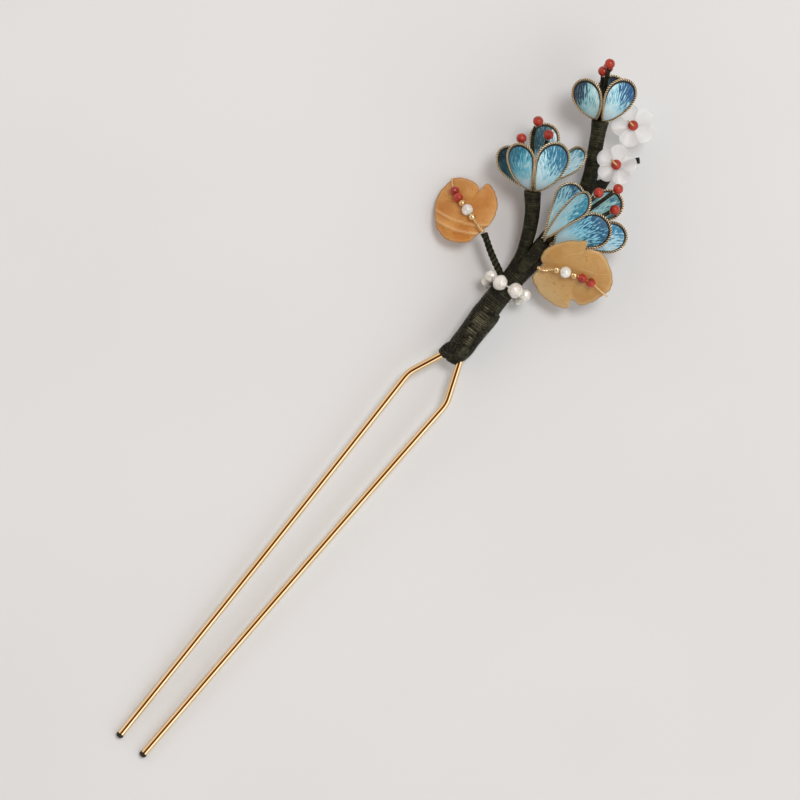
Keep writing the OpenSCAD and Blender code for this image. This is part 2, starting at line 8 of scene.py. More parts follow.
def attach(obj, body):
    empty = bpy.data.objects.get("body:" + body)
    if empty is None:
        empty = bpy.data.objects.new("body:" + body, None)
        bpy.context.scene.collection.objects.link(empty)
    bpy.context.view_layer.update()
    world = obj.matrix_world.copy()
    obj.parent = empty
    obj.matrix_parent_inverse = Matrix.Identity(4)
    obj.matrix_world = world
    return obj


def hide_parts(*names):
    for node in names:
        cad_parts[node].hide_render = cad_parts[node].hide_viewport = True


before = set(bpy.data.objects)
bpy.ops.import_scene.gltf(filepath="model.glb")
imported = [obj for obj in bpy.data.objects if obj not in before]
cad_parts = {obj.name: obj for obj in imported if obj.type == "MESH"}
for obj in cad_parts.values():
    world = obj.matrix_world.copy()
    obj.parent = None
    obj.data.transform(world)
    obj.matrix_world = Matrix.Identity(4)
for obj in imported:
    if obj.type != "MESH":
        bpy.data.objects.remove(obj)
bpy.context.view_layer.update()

bpy.ops.object.select_all(action="DESELECT")

# The hairpin is set out in millimetres from the lower end of its binding: x across, y up the
# stem, z over the table. Every piece is moved to the shared frame, in metres, as it is made.
MM = 0.001
UP = Vector((0, 0, 1))
BOX_MIDDLE = Vector((-3.7, -18.1, 0))

# Fork: its gaps are between the middles of its two prongs
WIRE_D = 1.5
PRONG_REACH = 102
TIP_GAP = 6
SHOULDER_GAP = 10.2
SHOULDER_DROP = 8.6
SHOULDER_R = 6
FORK_LEAN = radians(2.4)
HEAD_R = 1.2
HEAD_TOP = 9.6
NECK_Y = 1
NECK_R = 2.5
TIP_CHAMFER = 0.36
TIP_DARK = 0.85
PRONG_BOW = 0.28
PRONG_STEP = 8
BEND_STEPS = 8
HEAD_STEPS = 16

# Binding: [distance along it, radius]
BINDING_TURN = radians(2.5)
BINDING_PITCH = 0.36
BINDING_ROWS = [
    (-1.9, 0.7), (-1.5, 1.2), (-0.8, 1.75), (0.2, 2.3), (1.3, 2.58), (2.6, 2.68), (4.4, 2.62),
    (6.2, 2.68), (8.2, 2.78), (9.6, 2.88), (10.6, 2.86), (11.3, 2.7), (11.8, 2.5),
]

# Knot, stem, branches and twigs: [x, y, height over the fork's line, radius]
STEM_PITCH = 0.5
BRANCH_PITCH = 0.45
TWIG_PITCH = 0.4
THREAD_SIDES = 6
TWIG_CORD_PITCH = 3.6
WHIPPING_R = 0.76
KNOT_ROWS = [
    (-1.2, 1.7, 0.3, 1.1), (-1.5, 0.5, 0.6, 1.5), (-1.8, -0.6, 0.5, 1.45), (-2.1, -1.4, 0.2, 1.15),
    (-2.2, -1.8, 0.1, 0.8),
]
STEM_ROWS = [
    (-0.7, 10.6, 0, 2.5), (-0.85, 12.8, 0, 2.46), (-0.85, 16, 0, 2.42), (-0.7, 20, 0, 2.2),
    (-0.3, 24, -0.1, 2.15), (-0.3, 28.5, -0.5, 2), (-0.4, 33, -0.9, 1.85), (-0.3, 38.5, -0.9, 1.7),
    (-1.4, 43.2, -0.6, 1.55), (-4.6, 49.3, 0.4, 1.5), (-6.4, 52.5, 0.85, 1.55),
    (-7.5, 54.4, 1.1, 1.8), (-7.8, 54.95, 1.25, 1.35),
]
BRANCH_LEFT_ROWS = [
    (-1.9, 15.8, 0, 0.9), (-1.95, 18.5, 0, 1.15), (-2.1, 21.5, 0, 1.25), (-2.6, 24.3, 0, 1.32),
    (-3.6, 26.8, 0.1, 1.4), (-4.8, 29.3, 0.25, 1.48), (-6.6, 32.2, 0.6, 1.55),
    (-8.9, 35, 1, 1.78), (-9.15, 35.45, 1.1, 1.3),
]
BRANCH_RIGHT_ROWS = [
    (-0.7, 20.8, 1.6, 0.8), (-0.7, 23, 2.3, 1.1), (-0.65, 26.5, 3, 1.35), (-0.55, 28.6, 3.3, 1.45),
    (-0.5, 28.9, 3.35, 1.2),
]
TWIG_LEAF_ROWS = [
    (-2.4, 17.7, 0.1, 0.74), (-3.6, 18.4, 0.2, 0.76), (-6.1, 19.6, 0.4, 0.75), (-8, 20.6, 0.6, 0.72),
    (-9.6, 21.6, 0.5, 0.7), (-11.1, 22.45, 0.4, 0.68),
]
TWIG_SHELL_ROWS = [
    (1.5, 36.6, -1, 0.5), (2.2, 40.5, -1.9, 0.6), (1.7, 43.5, -2.4, 0.6), (1.2, 46.6, -2.6, 0.6),
    (1.4, 49.7, -2.6, 0.6), (2.2, 51.7, -2.4, 0.66), (3.6, 53.6, -2.1, 0.66),
]
TWIG_JOINT_ROWS = [
    (-1.2, 40.6, -0.8, 0.8), (-0.7, 42.3, -1, 0.95), (0.1, 44.3, -1.5, 0.85), (0.9, 46, -2.3, 0.7),
    (1.3, 47.2, -2.6, 0.5),
]

# Pearl collar: where the middle of the ring lies for each corner of its string, [x, y], and the
# pearl between that corner and the next
COLLAR_ROWS = [
    (-0.6, 17.2), (-0.6, 17.9), (-1.2, 18.4), (-1.6, 15), (-0.6, 14.8), (-0.6, 14.4), (-0.3, 17),
    (-0.6, 16.5),
]
COLLAR_R = 4.32
PEARL_DS = [3.05, 2.6, 2.5, 2.8, 2.8, 2.9, 2.45, 3.15]
STRING_R = 0.18
STRING_PITCH = 1.2

# Flowers: foot, axis, petals, and for each stamen the middle of its bead and how far its stalk bows
# aside. A petal can be shifted up its flower's axis, and can be fuller on one side.
Petal = namedtuple("Petal", "turn rise roll length width bow shift fuller spread", defaults=(0, 0, 1))
FLOWERS = {
    "left": (
        (-8.95, 35.15, 1.05), (-33, 22),
        [
            (-51, 40, 34, 12, 6, 2.2, 0, 0.5), (-17.5, 38, -28, 12.9, 6.9, 2.5, 0, -0.55),
            (-74, 8, -30, 9.5, 5.8, -0.9), (17, 14, 44, 11.2, 5.7, -0.9, 1.6),
            (-28, -4, 5, 12.9, 5.8, -1),
        ],
        [(-17, 46.4, 11.4, -0.85), (-17.4, 41.6, 13.6, 0), (-13.7, 45.6, 12.6, 0)],
    ),
    "right": (
        (-0.5, 28.9, 3.38), (27, 16),
        [
            (8.5, 30, 46, 13.7, 5.8, 0.9, 0, 0.5, 0.8), (30.5, 16, -12, 12.2, 7, 1, 0.9, -1.15, 0.5),
            (-8, 6, -15, 12, 5.8, -0.7), (44, 2, 20, 14.8, 6.4, -0.9, 0.6),
            (20, -2, 0, 14.9, 5.8, -1, 1.9),
        ],
        [(1.4, 43.1, 12.1, 0), (3.9, 46.2, 10.9, 0), (6.05, 42.6, 10.8, 0)],
    ),
    "top": (
        (-7.75, 54.4, 1.16), (-28, 30),
        [
            (-52, 38, 30, 10, 6.2, 2.1, 0, 0.5), (-12, 38, -28, 11.5, 6.3, 2.1, 0, -0.5),
            (-58, 18, -20, 7.6, 5.2, -0.6, -0.1), (-2, 20, 20, 8, 5.2, -0.6),
            (-19, 4, 0, 8.5, 5.6, -0.8),
        ],
        [(-13.3, 64.2, 15.2, 0), (-13.4, 62.3, 12.8, 0), (-13.1, 63.5, 10.9, 0)],
    ),
}
PETAL_RING_R = 1.15
PETAL_FOOT = 0.33
SILK_FOOT = 0.12
SILK_INSET = 0.16
SILK_RINGS = 24
SILK_PUFF = 0.26
SILK_BACK = 0.42
CORD_D = 0.5
CORD_PITCH = 1
PETAL_LIFT = 0.45
PETAL_CUP = 0.7
PETAL_MIDDLE = 0.62
STAMEN_ARCH = 4.8
STAMEN_D = 0.84
STAMEN_WIRE_R = 0.13
STAMEN_BEAD_D = 2.08

# Leaves: the points of the rim, and for the wire [x, y, share of the way to the rim, height over the
# leaf's face]. The first bead's middle lies beads_from along the wire.
LEAF_LEFT = {
    "middle": Vector((-16.9, 23.4, 3.62)),
    "slope": (0.44, -0.16),
    "rows": [
        (-22.9, 26.6), (-21.9, 28.1), (-20, 29), (-18.5, 29.1), (-17.7, 28.9), (-17.2, 28.5),
        (-17.15, 30.2), (-16.6, 30.7), (-15.6, 30.6), (-14.3, 30), (-12.6, 28.6), (-11.65, 26.8),
        (-11.3, 24.6), (-11.7, 22.7), (-11.9, 21), (-12.4, 19), (-14.2, 17.5), (-16.6, 16.7),
        (-19.2, 17.4), (-21.2, 19.2), (-22.6, 21.4), (-23.2, 23.8),
    ],
    "wire": [
        (-11.2, 22.5, 1, 0.8), (-12.6, 22.8, 0.8, 0.9), (-14, 23.1, 0.45, 1), (-15, 23.4, 0.3, 1.2),
        (-16.5, 24, 0.1, 1.4), (-18.1, 24.2, 0.2, 1.4), (-19.3, 24.6, 0.4, 1.2), (-20.7, 25, 0.65, 1),
        (-22.2, 26, 0.95, 0.5), (-22.95, 26.85, 1.05, -0.5),
    ],
    "beads_from": 3.95,
}
LEAF_RIGHT = {
    "middle": Vector((8, 27.6, 10.1)),
    "slope": (-0.12, 0.53),
    "rows": [
        (15.2, 28.2), (15.5, 29.7), (14.6, 31.6), (12.8, 33), (10.8, 34), (9.2, 34.15), (8.2, 33.9),
        (7.2, 33.4), (6.4, 32.8), (6.15, 33.4), (5.85, 34.15), (4, 32.9), (2.2, 31.2), (1, 29.3),
        (0.45, 27.4), (0.75, 25.9), (1.95, 24.9), (1.85, 23.5), (1.9, 22), (3.1, 20.95), (5.4, 20.2),
        (8, 20.2), (10, 20.7), (11.4, 21.6), (10.9, 23.3), (13, 23.7), (14.4, 25.6),
    ],
    "wire": [
        (1.5, 24, 1.1, 0.3), (2.8, 24.4, 0.9, 0.7), (4, 25.4, 0.6, 1.1), (5.4, 26.4, 0.4, 1.3),
        (7, 26.9, 0.1, 1.4), (8.6, 27.5, 0.1, 1.4), (10.2, 28, 0.3, 1.3), (12, 28.4, 0.5, 1.2),
        (13.8, 28.3, 0.8, 0.8), (15.3, 28.3, 1, 0.5), (15.9, 28.3, 1.1, -0.4),
    ],
    "beads_from": 4.55,
}
LEAF_SEGMENTS = 192
LEAF_RINGS = 44
LEAF_DOME = 0.7
LEAF_RIPPLE = 0.35
RIM_WAVE = 0.026
LEAF_THICKNESS = 1.5
LEAF_WIRE_D = 0.38
LEAF_TWIST_D = 0.76
LEAF_TWIST_PITCH = 1.4
LEAF_BEAD_D = [1.4, 2.3, 1.4, 1.95, 1.95]
LEAF_BEAD_GAP = 0.02
LEAF_CLEAR = 0.2

# Folds of the left leaf: the ways down and aside from its middle, how far aside bends them, and how
# far down each one's lip is
FOLD_DOWN = Vector((0.399, -0.917))
FOLD_ASIDE = Vector((0.917, 0.399))
FOLD_BEND = 0.035
FOLD_LIPS = (2.45, 4.2)

# Shell flowers: [x, y, height over the table, turn, reach], where each one's wire starts, and how
# the wire hooks over its bead
SHELLS = {"upper": (-1.9, 57.9, 7.4, 4, 4.5), "lower": (0.5, 49.7, 8.8, 43, 4.2)}
SHELL_WIRE_STARTS = {"upper": (-4.4, 54.6, 5.9), "lower": (-1.5, 47.6, 7.4)}
SHELL_WIRE_HOOK = [(0, 0, 1.05), (-0.35, 0, 1.22), (-1, 0.1, 0.75), (-1.35, 0.1, -0.2)]
SHELL_SEGMENTS = 100
SHELL_RINGS = 28
SHELL_THICKNESS = 0.9
SHELL_CUP = 0.9
SHELL_BEAD_D = 2.15
SHELL_BEAD_LIFT = 1.1
SHELL_WIRE_R = 0.19
SHELL_CLEAR = 0.55


def heading(turn, rise):
    """Direction from its turn away from +y towards +x, and its rise, in degrees."""
    turn, rise = radians(turn), radians(rise)
    return Vector((cos(rise) * sin(turn), cos(rise) * cos(turn), sin(rise)))


def mix(a, b, t):
    return a + (b - a) * t


def ease(value, low, high):
    """0 below low, 1 above high, and a smooth rise between them."""
    t = min(max((value - low) / (high - low), 0), 1)
    return t * t * (3 - 2 * t)


def fork_height(y):
    """Height of the fork's middle line over the table."""
    return WIRE_D / 2 + (y + PRONG_REACH) * tan(FORK_LEAN)


def lifted(row):
    """A row whose height counts from the fork's line, with its height over the table."""
    return (row[0], row[1], row[2] + fork_height(row[1]), *row[3:])


def lifted_all(rows):
    return [lifted(row) for row in rows]


def in_frame(point):
    """A point set out in millimetres, in the shared frame."""
    return (Vector(point[:3]) - BOX_MIDDLE) * MM


def between(a, b, c, d, t):
    """Point on the smooth line from b to c, which comes from a and goes on to d."""
    bend = 2 * a - 5 * b + 4 * c - d
    return 0.5 * (2 * b + (c - a) * t + bend * t * t + (3 * b - a - 3 * c + d) * t ** 3)


# Camera, light and table

VIEW_TURN = radians(39.7)
VIEW_MIDDLE = (-2.7, -13.95)
VIEW_HEIGHT = 2000
VIEW_WIDTH = 160
VIEW_LEVEL = 5
KEY_PLACE = (0.42, 0.38, 1.5)
KEY_AIM = (0, 0.03, 0)
KEY_SIZE = 0.5
KEY_POWER = 10.5
KEY_COLOUR = (0.99, 0.99, 1)

# Sides of the room that the wires mirror: where each one is, as the picture shows it, and how near
# to its direction it starts and is full
DARK_STRIP = ((-0.14, 0.11, 1), 0.68, 0.86)
STRIP_ALONG = (0.64, 0.77, 0)
STRIP_HALF_WIDTH = (0.24, 0.46)
RIGHT_SIDE = ((0.66, -0.5, 0.75), 0.82, 0.96)
LEFT_SIDE = ((-0.66, 0.5, 0.75), 0.82, 0.96)
ROOM_LIGHT = 0.56
LEFT_LIGHT = 0.65
ROOM_TINT = (0.965, 0.985, 1, 1)
STRIP_TINT = (1, 0.5, 0.2, 1)


def in_view(right, up, height):
    """Place beside the hairpin's middle, right and up as the picture shows it, in metres."""
    return Matrix.Rotation(VIEW_TURN, 3, "Z") @ Vector((right, up, height))


def make_camera():
    place = in_frame((*VIEW_MIDDLE, VIEW_HEIGHT + VIEW_LEVEL))
    bpy.ops.object.camera_add(location=place, rotation=(0, 0, VIEW_TURN))
    camera = bpy.context.object
    camera.name = "camera"
    camera.data.lens = camera.data.sensor_width * VIEW_HEIGHT / VIEW_WIDTH
    camera.data.clip_end = 20
    bpy.context.scene.camera = camera


def make_key_light():
    place = in_view(*KEY_PLACE)
    turn = (Vector(KEY_AIM) - place).to_track_quat("-Z", "Y").to_euler()
    bpy.ops.object.light_add(type="AREA", location=place, rotation=turn)
    light = bpy.context.object
    light.name = "key_light"
    light.data.shape = "DISK"
    light.data.size = KEY_SIZE
    light.data.energy = KEY_POWER
    light.data.color = KEY_COLOUR


def make_room():
    """A pale room, with a dark strip over the wires and bright sides."""
    scene = bpy.context.scene
    scene.world = scene.world or bpy.data.worlds.new("room")
    scene.world.use_nodes = True
    room = Net(scene.world.node_tree)
    way = room.node("TexCoord")

    def share(place):
        aim = tuple(in_view(*place).normalized())
        return room.node("VectorMath", {0: way, 1: aim}, out=1, operation="DOT_PRODUCT")

    def side(place, low, high):
        return room.rise(share(place), low, high)

    aside = room.maths("ABSOLUTE", share(STRIP_ALONG) + 0.08)
    dark = side(*DARK_STRIP) * (1 - room.rise(aside, *STRIP_HALF_WIDTH))
    strength = (1 - dark * 0.95) * ROOM_LIGHT + side(*RIGHT_SIDE) + side(*LEFT_SIDE) * LEFT_LIGHT
    background = room.tree.nodes["Background"]
    room.tree.links.new(room.blend(dark, ROOM_TINT, STRIP_TINT).socket, background.inputs["Color"])
    room.tree.links.new(strength.socket, background.inputs["Strength"])
    scene.view_settings.view_transform = "Standard"


# Materials

class Value:
    """A number that varies over a surface. Its operators add Math nodes."""

    def __init__(self, net, socket):
        self.net, self.socket = net, socket

    def __add__(self, other):
        return self.net.maths("ADD", self, other)

    def __sub__(self, other):
        return self.net.maths("SUBTRACT", self, other)

    def __rsub__(self, other):
        return self.net.maths("SUBTRACT", other, self)

    def __mul__(self, other):
        return self.net.maths("MULTIPLY", self, other)

    def __truediv__(self, other):
        return self.net.maths("DIVIDE", self, other)

    def __rtruediv__(self, other):
        return self.net.maths("DIVIDE", other, self)

    __radd__ = __add__
    __rmul__ = __mul__


def colour(text):
    """Linear colour of a #rrggbb colour."""
    parts = [int(text[i : i + 2], 16) / 255 for i in (1, 3, 5)]
    return (*[p / 12.92 if p <= 0.04045 else ((p + 0.055) / 1.055) ** 2.4 for p in parts], 1)


class Net:
    """A network of nodes."""

    def __init__(self, tree):
        self.tree = tree

    def node(self, kind, sockets=(), out=0, **settings):
        """Adds a node: first its settings, then the values, colours or links of its sockets."""
        node = self.tree.nodes.new("ShaderNode" + kind)
        for name, value in settings.items():
            setattr(node, name, value)
        for name, value in dict(sockets).items():
            if isinstance(value, Value):
                self.tree.links.new(value.socket, node.inputs[name])
            else:
                node.inputs[name].default_value = colour(value) if isinstance(value, str) else value
        return Value(self, node.outputs[out])

    def maths(self, operation, *values):
        return self.node("Math", enumerate(values), operation=operation)

    def rise(self, value, low=0.3, high=0.7):
        """0 below low, 1 above high, and a smooth rise between them."""
        sockets = {"Value": value, "From Min": low, "From Max": high}
        return self.node("MapRange", sockets, interpolation_type="SMOOTHSTEP")

    def blend(self, factor, a, b):
        return self.node("Mix", {"Factor": factor, 6: a, 7: b}, out=2, data_type="RGBA")

    def vector(self, x, y, z):
        return self.node("CombineXYZ", {"X": x, "Y": y, "Z": z})

    def apart(self, vector):
        return [self.node("SeparateXYZ", {"Vector": vector}, out=k) for k in range(3)]

    def place(self):
        """Place on the piece, in millimetres."""
        sockets = {0: self.node("TexCoord", out=3), 1: (1 / MM,) * 3}
        return self.node("VectorMath", sockets, operation="MULTIPLY")

    def lie(self, layer="lie"):
        """The piece's own flat coordinates."""
        return self.apart(self.node("UVMap", uv_map=layer))

    def grain(self, vector, scale, detail=2, roughness=0.5):
        sockets = {"Vector": vector, "Scale": scale, "Detail": detail, "Roughness": roughness}
        return self.node("TexNoise", sockets)


class Finish(Net):
    """A material: its shader's own settings, and the network that feeds it."""

    def __init__(self, name, **settings):
        self.material = bpy.data.materials.new(name)
        self.material.use_nodes = True
        super().__init__(self.material.node_tree)
        self.shader = self.tree.nodes["Principled BSDF"]
        for socket, value in settings.items():
            self.shader.inputs[socket.replace("_", " ")].default_value = value

    def link(self, socket, value):
        self.tree.links.new(value.socket, self.shader.inputs[socket])

    def see_through(self, share, tint):
        """Lets a share of the light through, in a colour."""
        clear = self.node("BsdfTransparent", {"Color": tint})
        body = Value(self, self.shader.outputs[0])
        both = self.node("MixShader", {0: share, 1: body, 2: clear})
        self.tree.links.new(both.socket, self.tree.nodes["Material Output"].inputs["Surface"])

    def bump(self, height, depth, strength):
        """Low relief, depth millimetres deep."""
        sockets = {"Height": height, "Distance": depth * MM, "Strength": strength}
        self.link("Normal", self.node("Bump", sockets))

    def made(self, tone, roughness):
        """Feeds the colour and the roughness, and gives the material."""
        self.link("Base Color", tone)
        self.link("Roughness", roughness)
        return self.material


def gold(name, base, dark, roughness, streak, metallic=1, groove_tarnish_and_shade=None):
    """Polished gold plating: fine drawing marks, a slightly uneven tone, and twist grooves darkened,
    partly tarnish and partly painted shade.
    """
    f = Finish(name, Metallic=metallic)
    place = f.place()
    cloud = f.grain(place, 0.09)
    marks = f.grain(place, streak, 3)
    body = f.blend(f.rise(cloud, 0.35, 0.7), base, dark)
    # The grooves between the twisted strands are darkened: partly tarnish, partly painted shade.
    if groove_tarnish_and_shade:
        _, high, _ = f.lie()
        body = f.blend(f.rise(high, 0.46, 0.78), groove_tarnish_and_shade, body)
    f.bump(marks, 0.008, 0.4)
    return f.made(body, f.rise(marks, 0.3, 0.75) * 0.08 + roughness)


# The painted sheen stripe along the binding's middle: its place across, how it leans, where it begins,
# and its half width
SHEEN_STRIPE_X = 5.2
SHEEN_STRIPE_LEAN = 0.06
SHEEN_STRIPE_START = (19, 22.5)
SHEEN_STRIPE_HALF_WIDTH = 1.4


def thread(name, dark, light, pitch, glint_strength, painted_sheen=False):
    """Waxed thread: painted glints on its turns, in patches, over short fibres and worn mottling, with
    painted shade low between the turns. On the binding, the painted glints show only in a painted sheen
    stripe along its middle."""
    f = Finish(name, Specular_IOR_Level=0.12)
    place = f.place()
    along, high, _ = f.lie()
    turn = f.grain(f.vector(along * (1.1 / pitch), high * 0.2, 3), 1, 2, 0.7)
    fibre = f.grain(place, 2.4, 3, 0.6)
    wear_and_glint_patches = f.grain(place, 0.5)
    # Painted glints: a lighter colour on the turns, in patches.
    painted_glint = f.rise(turn, 0.46, 0.6) * f.rise(wear_and_glint_patches, 0.3, 0.55)
    # On the binding, a painted sheen stripe along its middle limits the painted glints.
    if painted_sheen:
        x, y, _ = f.apart(place)
        aside = f.maths("ABSOLUTE", x + y * SHEEN_STRIPE_LEAN + f.grain(place, 1.5) - SHEEN_STRIPE_X)
        sheen_stripe = 1 - f.rise(aside, SHEEN_STRIPE_HALF_WIDTH * 0.4, SHEEN_STRIPE_HALF_WIDTH)
        painted_glint = painted_glint * sheen_stripe * f.rise(y, *SHEEN_STRIPE_START)
    tone = painted_glint * glint_strength + f.rise(fibre, 0.4, 0.72) * 0.25 + f.rise(wear_and_glint_patches, 0.45, 0.7) * 0.22
    # Painted shade: darker low between the turns.
    tone = tone * (f.rise(high, 0.35, 0.95) * 0.75 + 0.25)
    f.bump(fibre + turn, 0.08, 0.7)
    return f.made(f.blend(tone, dark, light), 0.52 - painted_glint * 0.2)


def cut_metal(name):
    """Sawn wire end, darkened."""
    f = Finish(name, Metallic=0.4)
    marks = f.grain(f.place(), 3, 3)
    f.bump(marks, 0.04, 0.6)
    return f.made(f.blend(f.rise(marks, 0.4, 0.7), "#1b160e", "#4a3d28"), f.rise(marks) * 0.2 + 0.5)


def pearl(name, base, shade):
    """Nacre: a soft skin over a slightly uneven body, with a breath of rose and green."""
    f = Finish(name, Subsurface_Weight=0.1, Subsurface_Scale=0.0006, Coat_Roughness=0.08,
               Subsurface_Radius=(1, 0.9, 0.8), Specular_IOR_Level=0.8)
    place = f.place()
    cloud = f.grain(place, 0.8)
    tint = f.grain(place, 0.55, 1)
    skin = f.grain(place, 2.2, 3)
    body = f.blend(f.rise(cloud, 0.42, 0.66), base, shade)
    body = f.blend(f.rise(tint, 0.52, 0.66) * 0.35, body, "#e6d2cb")
    body = f.blend(f.rise(tint, 0.46, 0.32) * 0.3, body, "#cfd9cb")
    f.link("Coat Weight", f.rise(skin, 0.35, 0.7) * 0.3 + 0.7)
    f.bump(skin + cloud * 1.5, 0.12, 0.6)
    return f.made(body, f.rise(skin, 0.3, 0.8) * 0.16 + 0.16)


def coral(name):
    """Polished stone, orange-red and darker in clouds."""
    f = Finish(name, Subsurface_Weight=0.05, Subsurface_Scale=0.0005, Coat_Roughness=0.1,
               Subsurface_Radius=(1, 0.2, 0.1), Specular_IOR_Level=0.25)
    place = f.place()
    cloud = f.grain(place, 0.9, 3)
    body = f.blend(f.rise(cloud, 0.42, 0.7), "#b2331a", "#7c180d")
    f.link("Coat Weight", f.rise(cloud) * 0.2 + 0.5)
    f.bump(f.grain(place, 3, 3), 0.03, 0.5)
    return f.made(body, f.rise(cloud) * 0.15 + 0.28)


def amber(name, tones, base_point, veins, paler):
    """Carved amber-coloured leaf: clouded body, a painted highlight along the lips of its folds, a thin
    dark line at its edge, fine veins that fan from a point, and a side that grows paler, [x, y, from,
    to]."""
    light, mid, deep, pale = tones
    f = Finish(name, Subsurface_Weight=0.3, Subsurface_Scale=0.002,
               Subsurface_Radius=(1, 0.55, 0.25), Coat_Roughness=0.2)
    place = f.place()
    x, y, _ = f.apart(place)
    share, lip, _ = f.lie()
    cloud = f.grain(place, 0.2, 3, 0.55)
    speck = f.grain(place, 1.1, 3, 0.6)
    angle = f.maths("ARCTAN2", y - base_point[1], x - base_point[0]) * veins
    wave = f.maths("ABSOLUTE", f.maths("SINE", angle + f.grain(place, 0.16, 1) * 2.5))
    vein = (1 - f.rise(wave, 0, 0.07)) * f.rise(cloud, 0.35, 0.6)
    body = f.blend(f.rise(cloud, 0.35, 0.66), mid, light)
    body = f.blend(f.rise(x * paler[0] + y * paler[1], *paler[2:]) * 0.75, body, pale)
    body = f.blend(f.rise(speck, 0.58, 0.74) * 0.55, body, deep)
    body = f.blend(vein * 0.6, body, "#f3dcab")
    # Painted highlight along the lips of the folds.
    body = f.blend(lip * 0.6, body, "#f2c890")
    body = f.blend(f.rise(share + speck * 0.05, 0.9, 0.97) * 0.4, body, pale)
    body = f.blend(f.rise(share + speck * 0.03, 0.975, 1) * 0.45, body, "#8a5a28")
    f.bump(f.grain(place, 0.7, 4, 0.6) - vein * 0.6, 0.16, 0.7)
    f.see_through(LEAF_CLEAR, "#f2b878")
    return f.made(body, f.rise(speck) * 0.2 + 0.3)


def shell_white(name):
    """Thin carved shell, milky and half clear."""
    f = Finish(name, Subsurface_Weight=0.6, Subsurface_Scale=0.0015, Coat_Weight=0.1,
               Subsurface_Radius=(1, 1, 1), Coat_Roughness=0.15)
    place = f.place()
    cloud = f.grain(place, 0.5)
    body = f.blend(f.rise(cloud, 0.35, 0.7), "#ffffff", "#fafbfa")
    f.bump(f.grain(place, 1.2), 0.05, 0.5)
    f.see_through(SHELL_CLEAR, "#fbfbfa")
    return f.made(body, f.rise(cloud) * 0.15 + 0.3)


# How closely the silk's stitches lie, and the finer ones over them
STITCHES = 38
FINE_STITCHES = 60


def silk(name, petal, tones, reach, lean, seed):
    """Embroidered silk: long and short stitches fanned from the foot, paler there and deeper at the
    round end, with a black edge, part dark border thread and part painted shadow of the cord, that
    thins down the sides, and a plain pale back."""
    pale, mid, deep, accent = tones
    f = Finish(name, Sheen_Weight=0.2, Sheen_Roughness=0.35, Specular_IOR_Level=0.45)
    along, over, _ = f.lie()
    inward, back, _ = f.lie("edge")
    across = (over - 0.5) * 2
    fan = across * (petal.width / 2) / (along * petal.length + 2)

    def streaks(aside, stretch, shift, detail, roughness):
        place = f.vector(aside, along * (petal.length * stretch), seed + shift)
        return f.grain(place, 1, detail, roughness)

    stitch = streaks(fan * STITCHES, 0.65, 0, 2, 0.6)
    fine = streaks(fan * FINE_STITCHES, 0.8, 5, 2, 0.6)
    patch = streaks(across * (petal.width * 0.2), 0.2, 9, 1, 0.5)
    wild = f.rise(along, 0.1, 0.7)
    field = along + across * along * lean + (stitch - 0.5) * wild * 1.8 + (patch - 0.5) * 0.6
    body = f.blend(f.rise(field, 0.18, 0.7), pale, mid)
    second = f.rise(patch, 0.48, 0.62) * f.rise(stitch, 0.4, 0.6) * wild * 0.65
    body = f.blend(second, body, accent)
    body = f.blend(f.rise(field, reach, reach + 0.2), body, deep)
    body = f.blend(f.rise(fine, 0.54, 0.66) * (wild * 0.2 + 0.08), body, pale)
    body = f.blend(f.rise(fine, 0.46, 0.34) * (wild * 0.5 + 0.04), body, deep)
    # Black border inside the cord: part dark thread, part painted shadow of the cord, widest at the
    # round end.
    border_and_shadow_width = f.rise(along, 0.3, 0.95) * 0.26 + 0.08
    edge = 1 - f.rise(inward - border_and_shadow_width, -0.03, 0.08)
    body = f.blend(edge, body, "#12120f")
    f.bump(stitch + fine, 0.12, 0.8)
    return f.made(f.blend(f.rise(back, 0.2, 0.8), body, "#c6cbd6"), edge * 0.2 + 0.45)


def floor_finish():
    f = Finish("table_top", Roughness=0.75, Specular_IOR_Level=0.2)
    cloud = f.grain(f.place(), 0.012)
    f.link("Base Color", f.blend(f.rise(cloud), "#dfdfde", "#e2e2e1"))
    return f.material


# Shaping

def blank(add, **settings):
    """Adds a primitive with nothing else selected."""
    bpy.ops.object.select_all(action="DESELECT")
    add(**settings)
    return bpy.context.object


def only(*pieces):
    bpy.ops.object.select_all(action="DESELECT")
    for piece in pieces:
        piece.select_set(True)
    bpy.context.view_layer.objects.active = pieces[0]


def edit(piece, *steps, pick="SELECT"):
    """Runs steps of edit mode on a piece."""
    only(piece)
    bpy.ops.object.mode_set(mode="EDIT")
    if pick:
        bpy.ops.mesh.select_all(action=pick)
    for step, settings in steps:
        step(**settings)
    bpy.ops.object.mode_set(mode="OBJECT")


def choose(piece, kind, test):
    """Selects the corners, edges or faces of a piece that pass a test, and nothing else."""
    edit(piece, (bpy.ops.mesh.select_mode, {"type": kind}), pick="DESELECT")
    parts = {"VERT": piece.data.vertices, "EDGE": piece.data.edges, "FACE": piece.data.polygons}[kind]
    for part in parts:
        part.select = test(part)


def outward(piece):
    edit(
        piece,
        (bpy.ops.mesh.remove_doubles, {"threshold": 1e-7}),
        (bpy.ops.mesh.normals_make_consistent, {"inside": False}),
    )


def applied(piece, kind, **settings):
    """Adds a modifier and applies it."""
    only(piece)
    modifier = piece.modifiers.new(kind.lower(), kind)
    for name, value in settings.items():
        setattr(modifier, name, value)
    bpy.ops.object.modifier_apply(modifier=modifier.name)


def joined(name, pieces):
    only(*pieces)
    if len(pieces) > 1:
        bpy.ops.object.join()
    piece = bpy.context.object
    piece.name = piece.data.name = name
    return piece


def fit(piece, material, slot, *stands_for):
    """Gives a finished piece its finish, and its place on the hairpin's one body."""
    only(piece)
    bpy.ops.object.shade_smooth_by_angle(angle=radians(50))
    piece.data.materials.append(material)
    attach(piece, "root")
    if stands_for:
        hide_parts(*stands_for)


